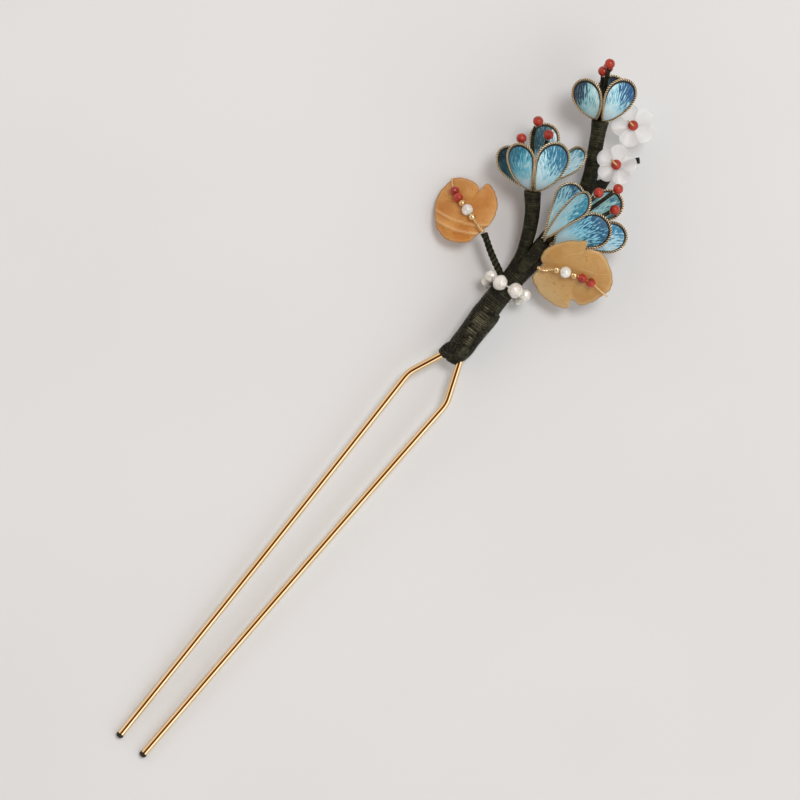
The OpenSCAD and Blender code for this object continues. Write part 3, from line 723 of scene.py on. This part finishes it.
def laid(mesh, names, rows):
    """Gives a mesh its flat coordinates: a layer for each name, from the pairs in each corner's row."""
    while mesh.uv_layers:
        mesh.uv_layers.remove(mesh.uv_layers[0])
    for k, name in enumerate(names):
        layer = mesh.uv_layers.new(name=name)
        for loop in mesh.loops:
            layer.data[loop.index].uv = rows[loop.vertex_index][k]


def guide(rows, smooth=True):
    """Line through rows of [x, y, z, radius] that a straight rod is bent along, and its length."""
    data = bpy.data.curves.new("guide", "CURVE")
    data.dimensions = "3D"
    data.resolution_u = 10
    data.use_radius = data.use_stretch = data.use_deform_bounds = True
    line = data.splines.new("BEZIER" if smooth else "POLY")
    points = line.bezier_points if smooth else line.points
    points.add(len(rows) - 1)
    for point, row in zip(points, rows):
        point.co = in_frame(row) if smooth else (*in_frame(row), 1)
        point.radius = row[3] * MM
        if smooth:
            point.handle_left_type = point.handle_right_type = "AUTO"
    thing = bpy.data.objects.new("guide", data)
    bpy.context.scene.collection.objects.link(thing)
    bpy.context.view_layer.update()
    return thing, line.calc_length() / MM


def bent(piece, line, low=0):
    """Bends a straight rod, whose length lies on x, along a guide line. Its flat coordinates are
    millimetres along it, and how high its surface stands from low, 0, to its outside, 1."""
    corners = [v.co for v in piece.data.vertices]
    flat = [[(p.x / MM, (hypot(p.y, p.z) - low) / (1 - low))] for p in corners]
    laid(piece.data, ["lie"], flat)
    applied(piece, "CURVE", object=line, deform_axis="POS_X")
    bpy.data.objects.remove(line)
    outward(piece)
    return piece


def straight(sides, radius, rings, half):
    """Rod that lies on x and reaches half its length each way, cut into rings."""
    piece = blank(bpy.ops.mesh.primitive_cylinder_add, vertices=sides, radius=radius, depth=2)
    corners = piece.data.vertices
    choose(piece, "EDGE", lambda e: corners[e.vertices[0]].co.z != corners[e.vertices[1]].co.z)
    edit(piece, (bpy.ops.mesh.subdivide, {"number_cuts": rings}), pick=None)
    piece.data.transform(Matrix.Diagonal((half, 1, 1, 1)) @ Matrix.Rotation(pi / 2, 4, "Y"))
    return piece


def rod(rows, sides, step=0.5):
    """Plain round rod of changing radius."""
    line, length = guide(rows)
    piece = straight(sides, 1, max(int(length / step), 2), length * MM / 2)
    return bent(piece, line)


def coiled(pitch, turns, reach, radius, long, sides, steps, start=0):
    """Round strand that winds about x: reach from the axis, radius across, long along the axis."""
    piece = blank(bpy.ops.mesh.primitive_circle_add, vertices=sides, radius=1)
    place = Matrix.Rotation(start, 4, "X") @ Matrix.Translation((0, reach, 0))
    piece.data.transform(place @ Matrix.Diagonal((long * MM, radius, 1, 1)))
    applied(
        piece, "SCREW", axis="X", angle=2 * pi, screw_offset=pitch * MM, iterations=turns,
        steps=steps, render_steps=steps, use_merge_vertices=False,
    )
    edit(piece, (bpy.ops.mesh.fill_holes, {"sides": 0}))
    return piece


def wound(name, rows, pitch, relief, steps=20):
    """Thread laid turn by turn round a core, and standing out from it by a share of the radius."""
    line, length = guide(rows)
    turns = max(round(length / pitch), 2)
    thread_coil = coiled(pitch, turns, 1 - relief, relief, pitch * 0.54, THREAD_SIDES, steps)
    half = turns * pitch * MM / 2
    core = straight(steps, 1 - relief, max(int(length), 3), half)
    core.data.transform(Matrix.Translation((half, 0, 0)))
    return bent(joined(name, [thread_coil, core]), line, 1 - relief)


def twisted(name, rows, pitch, strands=2, sides=6, steps=12, smooth=True):
    """Cord of two or more round strands laid round each other."""
    line, length = guide(rows, smooth)
    turns = max(round(length / pitch), 1)
    across = sin(pi / strands)
    reach = 1 / (1 + across)
    climb = atan2(2 * pi * reach * rows[0][3], pitch)
    long = (1 - reach) * rows[0][3] / sin(climb)
    parts = [
        coiled(pitch, turns, reach, 1 - reach, long, sides, steps, 2 * pi * k / strands)
        for k in range(strands)
    ]
    return bent(joined(name, parts), line, 0.6)


def pressed(name, segments, rings, form):
    """A ball pressed over a form: form takes the share of the way from the middle to the rim, the
    angle and the side, and gives the point in millimetres and its flat coordinates."""
    piece = blank(bpy.ops.mesh.primitive_uv_sphere_add, segments=segments, ring_count=rings, radius=1)
    piece.name = piece.data.name = name
    flat = []
    for v in piece.data.vertices:
        x, y, z = v.co
        point, *coordinates = form(hypot(x, y), atan2(y, x) % (2 * pi), z)
        v.co = in_frame(point)
        flat.append(coordinates)
    laid(piece.data, ("lie", "edge")[: len(coordinates)], flat)
    outward(piece)
    return piece


# Fork

def make_fork(material, cut_material):
    """One wire: drawn up a prong, spun round its bends, over the head and down the other prong."""
    tip = Vector((TIP_GAP / 2, -PRONG_REACH / cos(FORK_LEAN), 0))
    shoulder = Vector((SHOULDER_GAP / 2, -SHOULDER_DROP, 0))
    neck = Vector((HEAD_R, NECK_Y, 0))
    r = WIRE_D / 2

    def bearing(a, b):
        return atan2(b.y - a.y, b.x - a.x)

    prong, slant = bearing(tip, shoulder), bearing(shoulder, neck)
    bend, neck_bend = slant - prong, slant - pi / 2
    run = SHOULDER_R * tan(bend / 2)
    neck_run = NECK_R * tan(neck_bend / 2)

    def ahead(point, angle, distance):
        return point + Vector((cos(angle), sin(angle), 0)) * distance

    start, dark_end = ahead(tip, prong, TIP_CHAMFER), ahead(tip, prong, TIP_DARK)
    bend_start, neck_start = ahead(shoulder, prong, -run), ahead(neck, slant, -neck_run)
    head = Vector((0, HEAD_TOP - HEAD_R - r, 0))
    legs = [
        ("go", start, dark_end),
        ("go", dark_end, bend_start),
        ("turn", ahead(bend_start, prong + pi / 2, SHOULDER_R), bend),
        ("go", ahead(shoulder, slant, run), neck_start),
        ("turn", ahead(neck_start, slant - pi / 2, NECK_R), -neck_bend),
        ("go", ahead(neck, pi / 2, neck_run), head + Vector((HEAD_R, 0, 0))),
        ("turn", head, pi),
    ]
    flip = Vector((-1, 1, 1))
    back = []
    for kind, a, b in reversed(legs[:-1]):
        back.append(("go", b * flip, a * flip) if kind == "go" else ("turn", a * flip, b))
    piece = blank(
        bpy.ops.mesh.primitive_circle_add, vertices=24, radius=r - TIP_CHAMFER, fill_type="NGON",
        location=tip, rotation=(pi / 2, 0, prong - pi / 2),
    )
    bpy.ops.object.transform_apply()
    bpy.ops.object.mode_set(mode="EDIT")

    def draw(way, grow=1, middle=None):
        bpy.ops.mesh.extrude_region_move(TRANSFORM_OT_translate={"value": way})
        if grow != 1:
            bpy.ops.transform.resize(value=(grow,) * 3, center_override=middle)

    draw(start - tip, r / (r - TIP_CHAMFER), start)
    here = start
    for kind, a, b in legs + back:
        if kind == "go":
            steps = max(round((b - a).length / PRONG_STEP), 1)
            for k in range(steps):
                there = mix(a, b, (k + 1) / steps)
                draw(there - here)
                here = there
        else:
            steps = HEAD_STEPS if b == pi else BEND_STEPS
            bpy.ops.mesh.spin(steps=steps, angle=-b, center=a, axis=(0, 0, 1))
            here = a + Matrix.Rotation(b, 3, "Z") @ (here - a)
    end = here + (back[-1][2] - back[-1][1]).normalized() * TIP_CHAMFER
    draw(end - here, (r - TIP_CHAMFER) / r, end)
    bpy.ops.object.mode_set(mode="OBJECT")
    lay = Matrix.Translation((0, 0, fork_height(0))) @ Matrix.Rotation(FORK_LEAN, 4, "X")
    for v in piece.data.vertices:
        if v.co.y < neck.y:
            t = min(max((v.co.y - tip.y) / (shoulder.y - tip.y), 0), 1)
            v.co.x -= copysign(PRONG_BOW * sin(pi * t * 0.75), v.co.x)
    piece.data.transform(Matrix.Scale(MM, 4) @ Matrix.Translation(-BOX_MIDDLE) @ lay)
    outward(piece)
    piece = joined("fork_wire", [piece])
    fit(piece, material, "fork_wire", "fork")
    piece.data.materials.append(cut_material)
    dark_from = in_frame((0, tip.y * cos(FORK_LEAN) + TIP_DARK, 0)).y
    for polygon in piece.data.polygons:
        if polygon.center.y < dark_from:
            polygon.material_index = 1


# Stem

def binding_row(distance, radius):
    y = distance * cos(BINDING_TURN)
    return (-distance * sin(BINDING_TURN), y, fork_height(y), radius)


def make_binding(material):
    rows = [binding_row(*row) for row in BINDING_ROWS]
    turns = wound("binding_thread", rows, BINDING_PITCH, relief=0.075, steps=24)
    knot = wound("knot", lifted_all(KNOT_ROWS), BINDING_PITCH, relief=0.13)
    fit(joined("binding_thread", [turns, knot]), material, "binding_thread", "binding")


def make_stem(material):
    main = wound("stem_thread", lifted_all(STEM_ROWS), STEM_PITCH, relief=0.06)
    fit(main, material, "stem_thread", "main_stem")
    for side, rows in (("left", BRANCH_LEFT_ROWS), ("right", BRANCH_RIGHT_ROWS)):
        branch = wound(f"branch_{side}_thread", lifted_all(rows), BRANCH_PITCH, relief=0.07, steps=16)
        fit(branch, material, "stem_thread", f"branch_{side}")


def make_leaf_twig(material):
    """Three black strands laid round a core, whipped with thread where the leaf's wire comes out."""
    rows = lifted_all(TWIG_LEAF_ROWS)
    cord = twisted("leaf_twig_cord", rows, TWIG_CORD_PITCH, strands=3, sides=12, steps=24)
    core = rod([(*r[:3], r[3] * 0.62) for r in rows], sides=10, step=0.6)
    a, b = (Vector(row[:3]) for row in rows[-2:])
    whipping = [(*mix(a, b, t), WHIPPING_R) for t in (0.5, 1.05)]
    whipping = wound("whipping", whipping, pitch=0.3, relief=0.2, steps=14)
    fit(joined("leaf_twig_cord", [cord, core, whipping]), material, "stem_thread", "twig_leaf")


def make_shell_twig(material):
    twig = wound("shell_twig_thread", lifted_all(TWIG_SHELL_ROWS), TWIG_PITCH, relief=0.14, steps=12)
    joint = wound("joint", lifted_all(TWIG_JOINT_ROWS), TWIG_PITCH, relief=0.1, steps=14)
    fit(joined("shell_twig_thread", [twig, joint]), material, "stem_thread", "twig_shell")


# Beads

def drilled_bead():
    """Unit bead with its hole along z: a ball with its poles cut off and the cuts bridged."""
    piece = blank(bpy.ops.mesh.primitive_uv_sphere_add, segments=24, ring_count=22, radius=1)
    choose(piece, "VERT", lambda v: abs(v.co.z) > 0.9999)
    edit(piece, (bpy.ops.mesh.delete, {"type": "VERT"}), pick=None)
    steps = (bpy.ops.mesh.select_non_manifold, {}), (bpy.ops.mesh.bridge_edge_loops, {})
    edit(piece, *steps, pick="DESELECT")
    outward(piece)
    return piece


def strung(name, model, spots, uneven=0):
    """Copies of a bead, at rows of [a point before, a point after, diameter] on their thread."""
    pieces = []
    for k, (a, b, d) in enumerate(spots):
        a, b = Vector(a), Vector(b)
        mesh = model.data.copy()
        if uneven:
            seed = Vector((3.7 * k + len(name), 1.9 * k, 0.7 * k))
            mesh.transform(Matrix.Diagonal((1 - uneven * (k % 3) / 2, 1, 1 - uneven * (k % 2), 1)))
            for v in mesh.vertices:
                v.co *= 1 + uneven * noise.noise(v.co * 1.6 + seed)
        turn = (b - a).to_track_quat("Z", "Y").to_matrix().to_4x4()
        mesh.transform(
            Matrix.Translation(in_frame((a + b) / 2)) @ turn @ Matrix.Rotation(k * 1.1, 4, "Z")
            @ Matrix.Scale(d / 2 * MM, 4)
        )
        piece = bpy.data.objects.new(name, mesh)
        bpy.context.scene.collection.objects.link(piece)
        pieces.append(piece)
    return joined(name, pieces)


def make_collar(model, pearl_material):
    def corner(i):
        x, y = COLLAR_ROWS[i % count]
        a = 2 * pi * i / count
        r = COLLAR_R / cos(pi / count)
        return Vector((x + r * sin(a), y, fork_height(y) + r * cos(a)))

    count = len(COLLAR_ROWS)
    spots = [(corner(i), corner(i + 1), PEARL_DS[i]) for i in range(count)]
    pearls = strung("collar_pearls", model, spots, uneven=0.1)
    fit(pearls, pearl_material, "pearl", "pearl_collar")
    rows = [(*corner(i), STRING_R) for i in range(count + 1)]
    string = twisted("collar_string", rows, STRING_PITCH, steps=8, smooth=False)
    fit(string, pearl_material, "pearl", "collar_thread")


# Flowers

def petal_frame(petal):
    """Along, across and face directions of a petal."""
    along = heading(petal.turn, petal.rise)
    turn, roll = radians(petal.turn), radians(petal.roll)
    level = Vector((cos(turn), -sin(turn), 0))
    face = level.cross(along)
    across = level * cos(roll) + face * sin(roll)
    return along, across, face * cos(roll) - level * sin(roll)


def petal_outline(petal, inset, side, curved):
    """Points [along, across]: straight sides that meet a round end, inset from the cord's line."""
    round_r = petal.width / 2
    middle = petal.length - round_r
    flare = asin((round_r - PETAL_FOOT) / middle)
    r = round_r - inset
    foot_half = SILK_FOOT if inset else PETAL_FOOT
    foot = Vector(((foot_half - PETAL_FOOT + inset / cos(flare)) / tan(flare), foot_half))
    end = Vector((middle - r * sin(flare), r * cos(flare)))
    half = [mix(foot, end, k / side) for k in range(side)]
    arc = []
    for k in range(curved):
        a = (pi / 2 + flare) * (1 - 2 * k / (curved - 1))
        arc.append(Vector((middle + r * cos(a), r * sin(a))))
    outline = half + arc + [Vector((p.x, -p.y)) for p in reversed(half)]
    for p in outline:
        if p.y * petal.fuller > 0:
            share = min(max(p.x / middle, 0), 1)
            p.y += petal.fuller * sin(pi * share ** petal.spread)
    return outline


def make_petal(name, petal, start, silk_material, cord_material):
    along, across, face = petal_frame(petal)
    middle = Vector((petal.length * PETAL_MIDDLE, 0))
    edge = petal_outline(petal, SILK_INSET, side=18, curved=36)

    def on_petal(flat, over):
        """Point over or under the petal's bowed and cupped middle layer."""
        t, w = flat.x / petal.length, 2 * flat.y / petal.width
        cup = copysign(PETAL_CUP, petal.bow) * w * w * t
        height = petal.bow * 4 * t * (1 - t) - cup
        return start + along * flat.x + across * flat.y + face * (height + over)

    def form(s, a, up):
        rim = edge[round(a / (2 * pi) * len(edge)) % len(edge)]
        flat = mix(middle, rim, s)
        puff = SILK_PUFF * (1 - s ** 4) + 0.1 * up
        over = puff if up > 0 else -SILK_BACK * sqrt(-up)
        lie = flat.x / petal.length, 0.5 + flat.y / petal.width
        return on_petal(flat, over - 0.1), lie, ((rim - middle).length * (1 - s), float(up < 0))

    piece = pressed(f"silk_{name}", len(edge), SILK_RINGS, form)
    fit(piece, silk_material, "silk", f"petal_{name}")
    tails = [on_petal(Vector((-0.9, y)), -0.2) for y in (0.3, -0.3)]
    outline = petal_outline(petal, 0, side=5, curved=17)
    outline = [on_petal(flat, 0.02) for flat in outline]
    path = [(*p, CORD_D / 2) for p in (tails[0], *outline, tails[1])]
    cord = twisted(f"cord_{name}", path, CORD_PITCH)
    fit(cord, cord_material, "gold_cord", f"rim_{name}")


def stamen_rows(foot, axis, bead, bow, k):
    """Stalk from the flower's foot to its bead, and the wire that goes on through the bead."""
    side = axis.cross(UP).normalized()
    over = side.cross(axis)
    a = radians(90 + 120 * k)
    foot = foot + axis * 0.4 + (side * cos(a) + over * sin(a)) * 0.2
    run = Vector(bead) - foot

    def at(t):
        aside = side * bow * sin(pi * t * t)
        return foot + run * t + aside + UP * (STAMEN_ARCH * t * (1 - t) * (1 - t))

    neck = 1 - (STAMEN_BEAD_D / 2 + 0.05) / run.length
    stalk = [(*at(0), 0.3)] + [(*at(t), STAMEN_D / 2) for t in (0.15, 0.35, 0.55, 0.75, 0.88, neck)]
    tip = 1 + (STAMEN_BEAD_D / 2 + 0.03) / run.length
    wire = [(*at(t), STAMEN_WIRE_R) for t in (neck - 0.05, neck, 1, tip)]
    return stalk, wire


def make_flower(name, silks, finishes, model):
    foot, axis, petals, beads = FLOWERS[name]
    foot, axis = Vector(lifted(foot)), heading(*axis)
    for k, row in enumerate(petals):
        petal = Petal(*row)
        along = heading(petal.turn, petal.rise)
        off = along - axis * along.dot(axis)
        start = foot + off.normalized() * PETAL_RING_R + axis * (PETAL_LIFT + petal.shift)
        own = f"{name}_{k + 1}"
        make_petal(own, petal, start, silk(f"silk_{own}", petal, *silks[k]), finishes["cord"])
    stalks, wires, spots = [], [], []
    for k, (*bead, bow) in enumerate(beads):
        stalk, wire = stamen_rows(foot, axis, bead, bow, k)
        stalks.append(wound(f"stalk_{k}", stalk, TWIG_PITCH, relief=0.16, steps=14))
        wires.append(rod(wire, sides=8))
        way = Vector(wire[2][:3]) - Vector(wire[1][:3])
        spots.append((Vector(bead) - way, Vector(bead) + way, STAMEN_BEAD_D))
    fit(joined(f"stamen_stalks_{name}", stalks), finishes["stem"], "stem_thread", f"stamens_{name}")
    fit(joined(f"stamen_wires_{name}", wires), finishes["wire"], "fine_wire")
    corals = strung(f"coral_{name}", model, spots, uneven=0.03)
    fit(corals, finishes["coral"], "red_beads", f"stamen_beads_{name}")


# Leaves

def round_trip(rows, t):
    """Point on the smooth closed line through rows, at t turns of the way round."""
    at = t % 1 * len(rows)
    i = int(at)
    return between(*(Vector(rows[(i + k) % len(rows)]) for k in (-1, 0, 1, 2)), at - i)


def leaf_height(leaf, flat, s):
    off = flat - leaf["middle"].xy
    return leaf["middle"].z + off.dot(Vector(leaf["slope"])) + LEAF_DOME * (1 - s * s)


def fold_steps(off):
    """Depth of the left leaf's two folded lips, from its middle towards its lower side, and how close
    each place is to a lip, which sets where the painted highlight goes."""
    aside = off.dot(FOLD_ASIDE)
    down = off.dot(FOLD_DOWN) + FOLD_BEND * aside * aside
    depth, lip_highlight = 0, 0
    for lip in FOLD_LIPS:
        depth += 0.25 * ease(down, lip - 1, lip) - 0.5 * ease(down, lip, lip + 0.5)
        lip_highlight += ease(down, lip - 0.5, lip - 0.1) * ease(-down, -lip - 0.25, -lip - 0.05)
    return depth * ease(down, 1.4, 2.4), lip_highlight


def make_leaf(name, leaf, folds, material):
    middle = leaf["middle"].xy

    def form(s, a, up):
        rim = round_trip(leaf["rows"], round(a / (2 * pi) * LEAF_SEGMENTS) / LEAF_SEGMENTS)
        rim = rim + (rim - middle) * RIM_WAVE * noise.noise(Vector((rim.x * 1.3, rim.y * 1.3, 7)))
        flat = mix(middle, rim, s)
        off = flat - middle
        height = leaf_height(leaf, flat, s)
        ripple = noise.noise(Vector((flat.x * 0.35, flat.y * 0.35, len(name)))) * LEAF_RIPPLE
        fold, lip_highlight = fold_steps(off) if folds else (0, 0)
        half = LEAF_THICKNESS / 2
        over = half * copysign(abs(up) ** 0.7, up)
        top = 1 if up > 0 else 0.6
        return (flat.x, flat.y, height + over + top * fold + ripple * s), (s, lip_highlight)

    piece = pressed(f"{name}_carved", LEAF_SEGMENTS, LEAF_RINGS, form)
    fit(piece, material, "amber_leaf", name)


def leaf_path(leaf):
    """Rows of the leaf's wire, with its heights over the table."""
    rows = []
    for x, y, s, over in leaf["wire"]:
        flat = Vector((x, y))
        rows.append(Vector((x, y, leaf_height(leaf, flat, s) + LEAF_THICKNESS / 2 + over)))
    return rows


def dense(points, steps=8):
    """The same smooth line with steps points to each span."""
    spans = zip([points[0], *points], points, points[1:], [*points[2:], points[-1]])
    return [between(*span, k / steps) for span in spans for k in range(steps)] + [points[-1]]


def along_path(points, distance):
    for a, b in zip(points, points[1:]):
        step = (b - a).length
        if distance <= step:
            return mix(a, b, distance / step)
        distance -= step
    return points[-1]


def make_leaf_beads(side, leaf, finishes, model):
    path = dense(leaf_path(leaf))
    wire = rod([(*p, LEAF_WIRE_D / 2) for p in path[::2]], sides=10)
    twist = [(*(p + UP * 0.25), LEAF_TWIST_D / 2) for p in path[:13:2]]
    twist = twisted("twist", twist, LEAF_TWIST_PITCH, sides=8)
    fit(joined(f"leaf_{side}_wire", [wire, twist]), finishes["wire"], "fine_wire", f"leaf_wire_{side}")
    spots, s = [], leaf["beads_from"]
    for k, d in enumerate(LEAF_BEAD_D):
        if k:
            s += (LEAF_BEAD_D[k - 1] + d) / 2 + LEAF_BEAD_GAP
        spots.append((along_path(path, s - d / 2), along_path(path, s + d / 2), d))
    pearls = strung(f"leaf_{side}_pearl", model, spots[1:2], uneven=0.06)
    fit(pearls, finishes["pearl"], "pearl", f"leaf_pearl_{side}")
    golds = strung(f"leaf_{side}_gold", model, spots[0:3:2])
    fit(golds, finishes["bead"], "gold_beads", f"gold_beads_{side}")
    corals = strung(f"leaf_{side}_coral", model, spots[3:], uneven=0.04)
    fit(corals, finishes["coral"], "red_beads", f"red_beads_{side}")


# Shell flowers

def make_shell(name, place, material):
    x, y, z, turn, reach = place

    def form(s, a, up):
        lobe = abs(cos(2.5 * a))
        r = s * reach * (0.74 + 0.26 * lobe ** 0.7)
        t = a + radians(turn)
        over = SHELL_THICKNESS / 2 * copysign(abs(up) ** 0.8, up)
        cup = (SHELL_CUP + 0.5 * (1 - lobe) - 0.35 * min(lobe / 0.85, 1)) * s * s
        return (x + r * cos(t), y + r * sin(t), z + cup + over), (0.5, 0.5)

    piece = pressed(f"shell_{name}_carved", SHELL_SEGMENTS, SHELL_RINGS, form)
    fit(piece, material, "shell", f"shell_{name}")


def make_shell_beads(finishes, model):
    spots, wires = [], []
    for name, (x, y, z, *_) in SHELLS.items():
        heart = Vector((x, y, z))
        middle = heart + UP * (SHELL_THICKNESS / 2 + SHELL_BEAD_LIFT)
        spots.append((middle - UP, middle + UP, SHELL_BEAD_D))
        start = Vector(SHELL_WIRE_STARTS[name])
        under = heart - UP * (SHELL_THICKNESS / 2 + 0.9)
        path = [start, mix(start, under, 0.5), mix(start, under, 0.9), under + UP * 0.25, heart]
        path += [middle + Vector(hook) for hook in SHELL_WIRE_HOOK]
        wires.append(rod([(*p, SHELL_WIRE_R) for p in path], sides=8))
    corals = strung("shell_coral", model, spots, uneven=0.03)
    fit(corals, finishes["coral"], "red_beads", "shell_beads")
    fit(joined("shell_flower_wires", wires), finishes["wire"], "fine_wire", "shell_wires")


def make_table():
    table = blank(bpy.ops.mesh.primitive_plane_add, size=3)
    table.name = "table"
    table.data.materials.append(floor_finish())


# Silks: pale, middle, deep and second tone, where the deep tone starts, which side it leans to, and
# the seed of its stitches
SILKS = {
    "left": [
        (("#b8d2da", "#46a2b8", "#1a6a82", "#68bccc"), 0.66, -0.45, 1),
        (("#d2edf3", "#9cd4e2", "#0c6a8a", "#46a4c0"), 0.56, 0.5, 2),
        # This left-back petal's dark tones are painted shade from the front petal over it.
        (("#55929e", "#2a6470", "#162c3a", "#3a828a"), 0.6, 0, 3),
        (("#ecfbff", "#c4ecf6", "#4a9cba", "#90cee0"), 0.78, -0.2, 4),
        (("#eef6f8", "#7cb6c6", "#1c525e", "#2c72b4"), 0.58, -0.9, 5),
    ],
    "right": [
        (("#bed8dc", "#9ad2de", "#2a86a2", "#66b6c8"), 0.72, 0.4, 6),
        (("#c0e4ee", "#80d0e6", "#065276", "#3ca0c2"), 0.58, 0.05, 7),
        (("#c8e0de", "#82becc", "#0c4e74", "#aad4dc"), 0.7, 0, 8),
        (("#eefbff", "#c0ecf8", "#3a8eb8", "#d8f2fa"), 0.76, -0.2, 9),
        (("#cce6e2", "#98cccc", "#2c6c88", "#68b2d0"), 0.78, 0.3, 10),
    ],
    "top": [
        (("#bcdcde", "#8cc8d0", "#10304a", "#287072"), 0.66, -0.95, 11),
        (("#d6f2f6", "#a8e0ec", "#065084", "#4aa6c2"), 0.66, 0.7, 12),
        # This left-back petal's dark tones are painted shade from the petals in front.
        (("#4f7f8c", "#2a5a68", "#16283f", "#3f6f7c"), 0.6, 0, 13),
        (("#8fc0cf", "#4f93ab", "#235d86", "#6fa9bd"), 0.75, 0, 14),
        # This back petal's dark tones are painted shade from the petals in front.
        (("#4f7f8c", "#2a5a68", "#16283f", "#3f6f7c"), 0.6, 0, 15),
    ],
}

make_camera()
make_key_light()
make_room()
make_table()

rose_gold = gold("rose_gold_wire", "#f2d8b0", "#eacd9f", 0.05, 1.2)
finishes = {
    "cord": gold("gold_cord", "#ffe9c0", "#f8cf98", 0.24, 3, 0.5, "#1c0c06"),
    "wire": gold("fine_gold_wire", "#f2cf98", "#e2b474", 0.16, 2, 0.7),
    "bead": gold("gold_bead", "#f4d7a6", "#e6bb80", 0.06, 0.8),
    "binding": thread("binding_thread", "#100f08", "#8a8468", BINDING_PITCH, 0.8, painted_sheen=True),
    "stem": thread("stem_thread", "#100f08", "#625f42", STEM_PITCH, 0.2),
    "pearl": pearl("pearl_nacre", "#f0ebe1", "#cdc6bb"),
    "coral": coral("coral_bead"),
    "shell": shell_white("white_shell"),
}
model = drilled_bead()
make_fork(rose_gold, cut_metal("cut_end"))
make_binding(finishes["binding"])
make_stem(finishes["stem"])
make_leaf_twig(finishes["stem"])
make_shell_twig(finishes["stem"])
make_collar(model, finishes["pearl"])
for flower in FLOWERS:
    make_flower(flower, SILKS[flower], finishes, model)
make_leaf("leaf_left", LEAF_LEFT, True, amber(
    "amber_left", ("#dda457", "#ca8638", "#9c581c", "#e0b072"), (-8, 41), 9, (-0.45, 0.9, 46, 53),
))
make_leaf("leaf_right", LEAF_RIGHT, False, amber(
    "amber_right", ("#d3ab6a", "#c89a56", "#a07030", "#dcc590"), (4, 42), 9, (-0.3, -0.95, -46, -38),
))
make_leaf_beads("left", LEAF_LEFT, finishes, model)
make_leaf_beads("right", LEAF_RIGHT, finishes, model)
for shell, place in SHELLS.items():
    make_shell(shell, place, finishes["shell"])
make_shell_beads(finishes, model)
bpy.data.objects.remove(model)
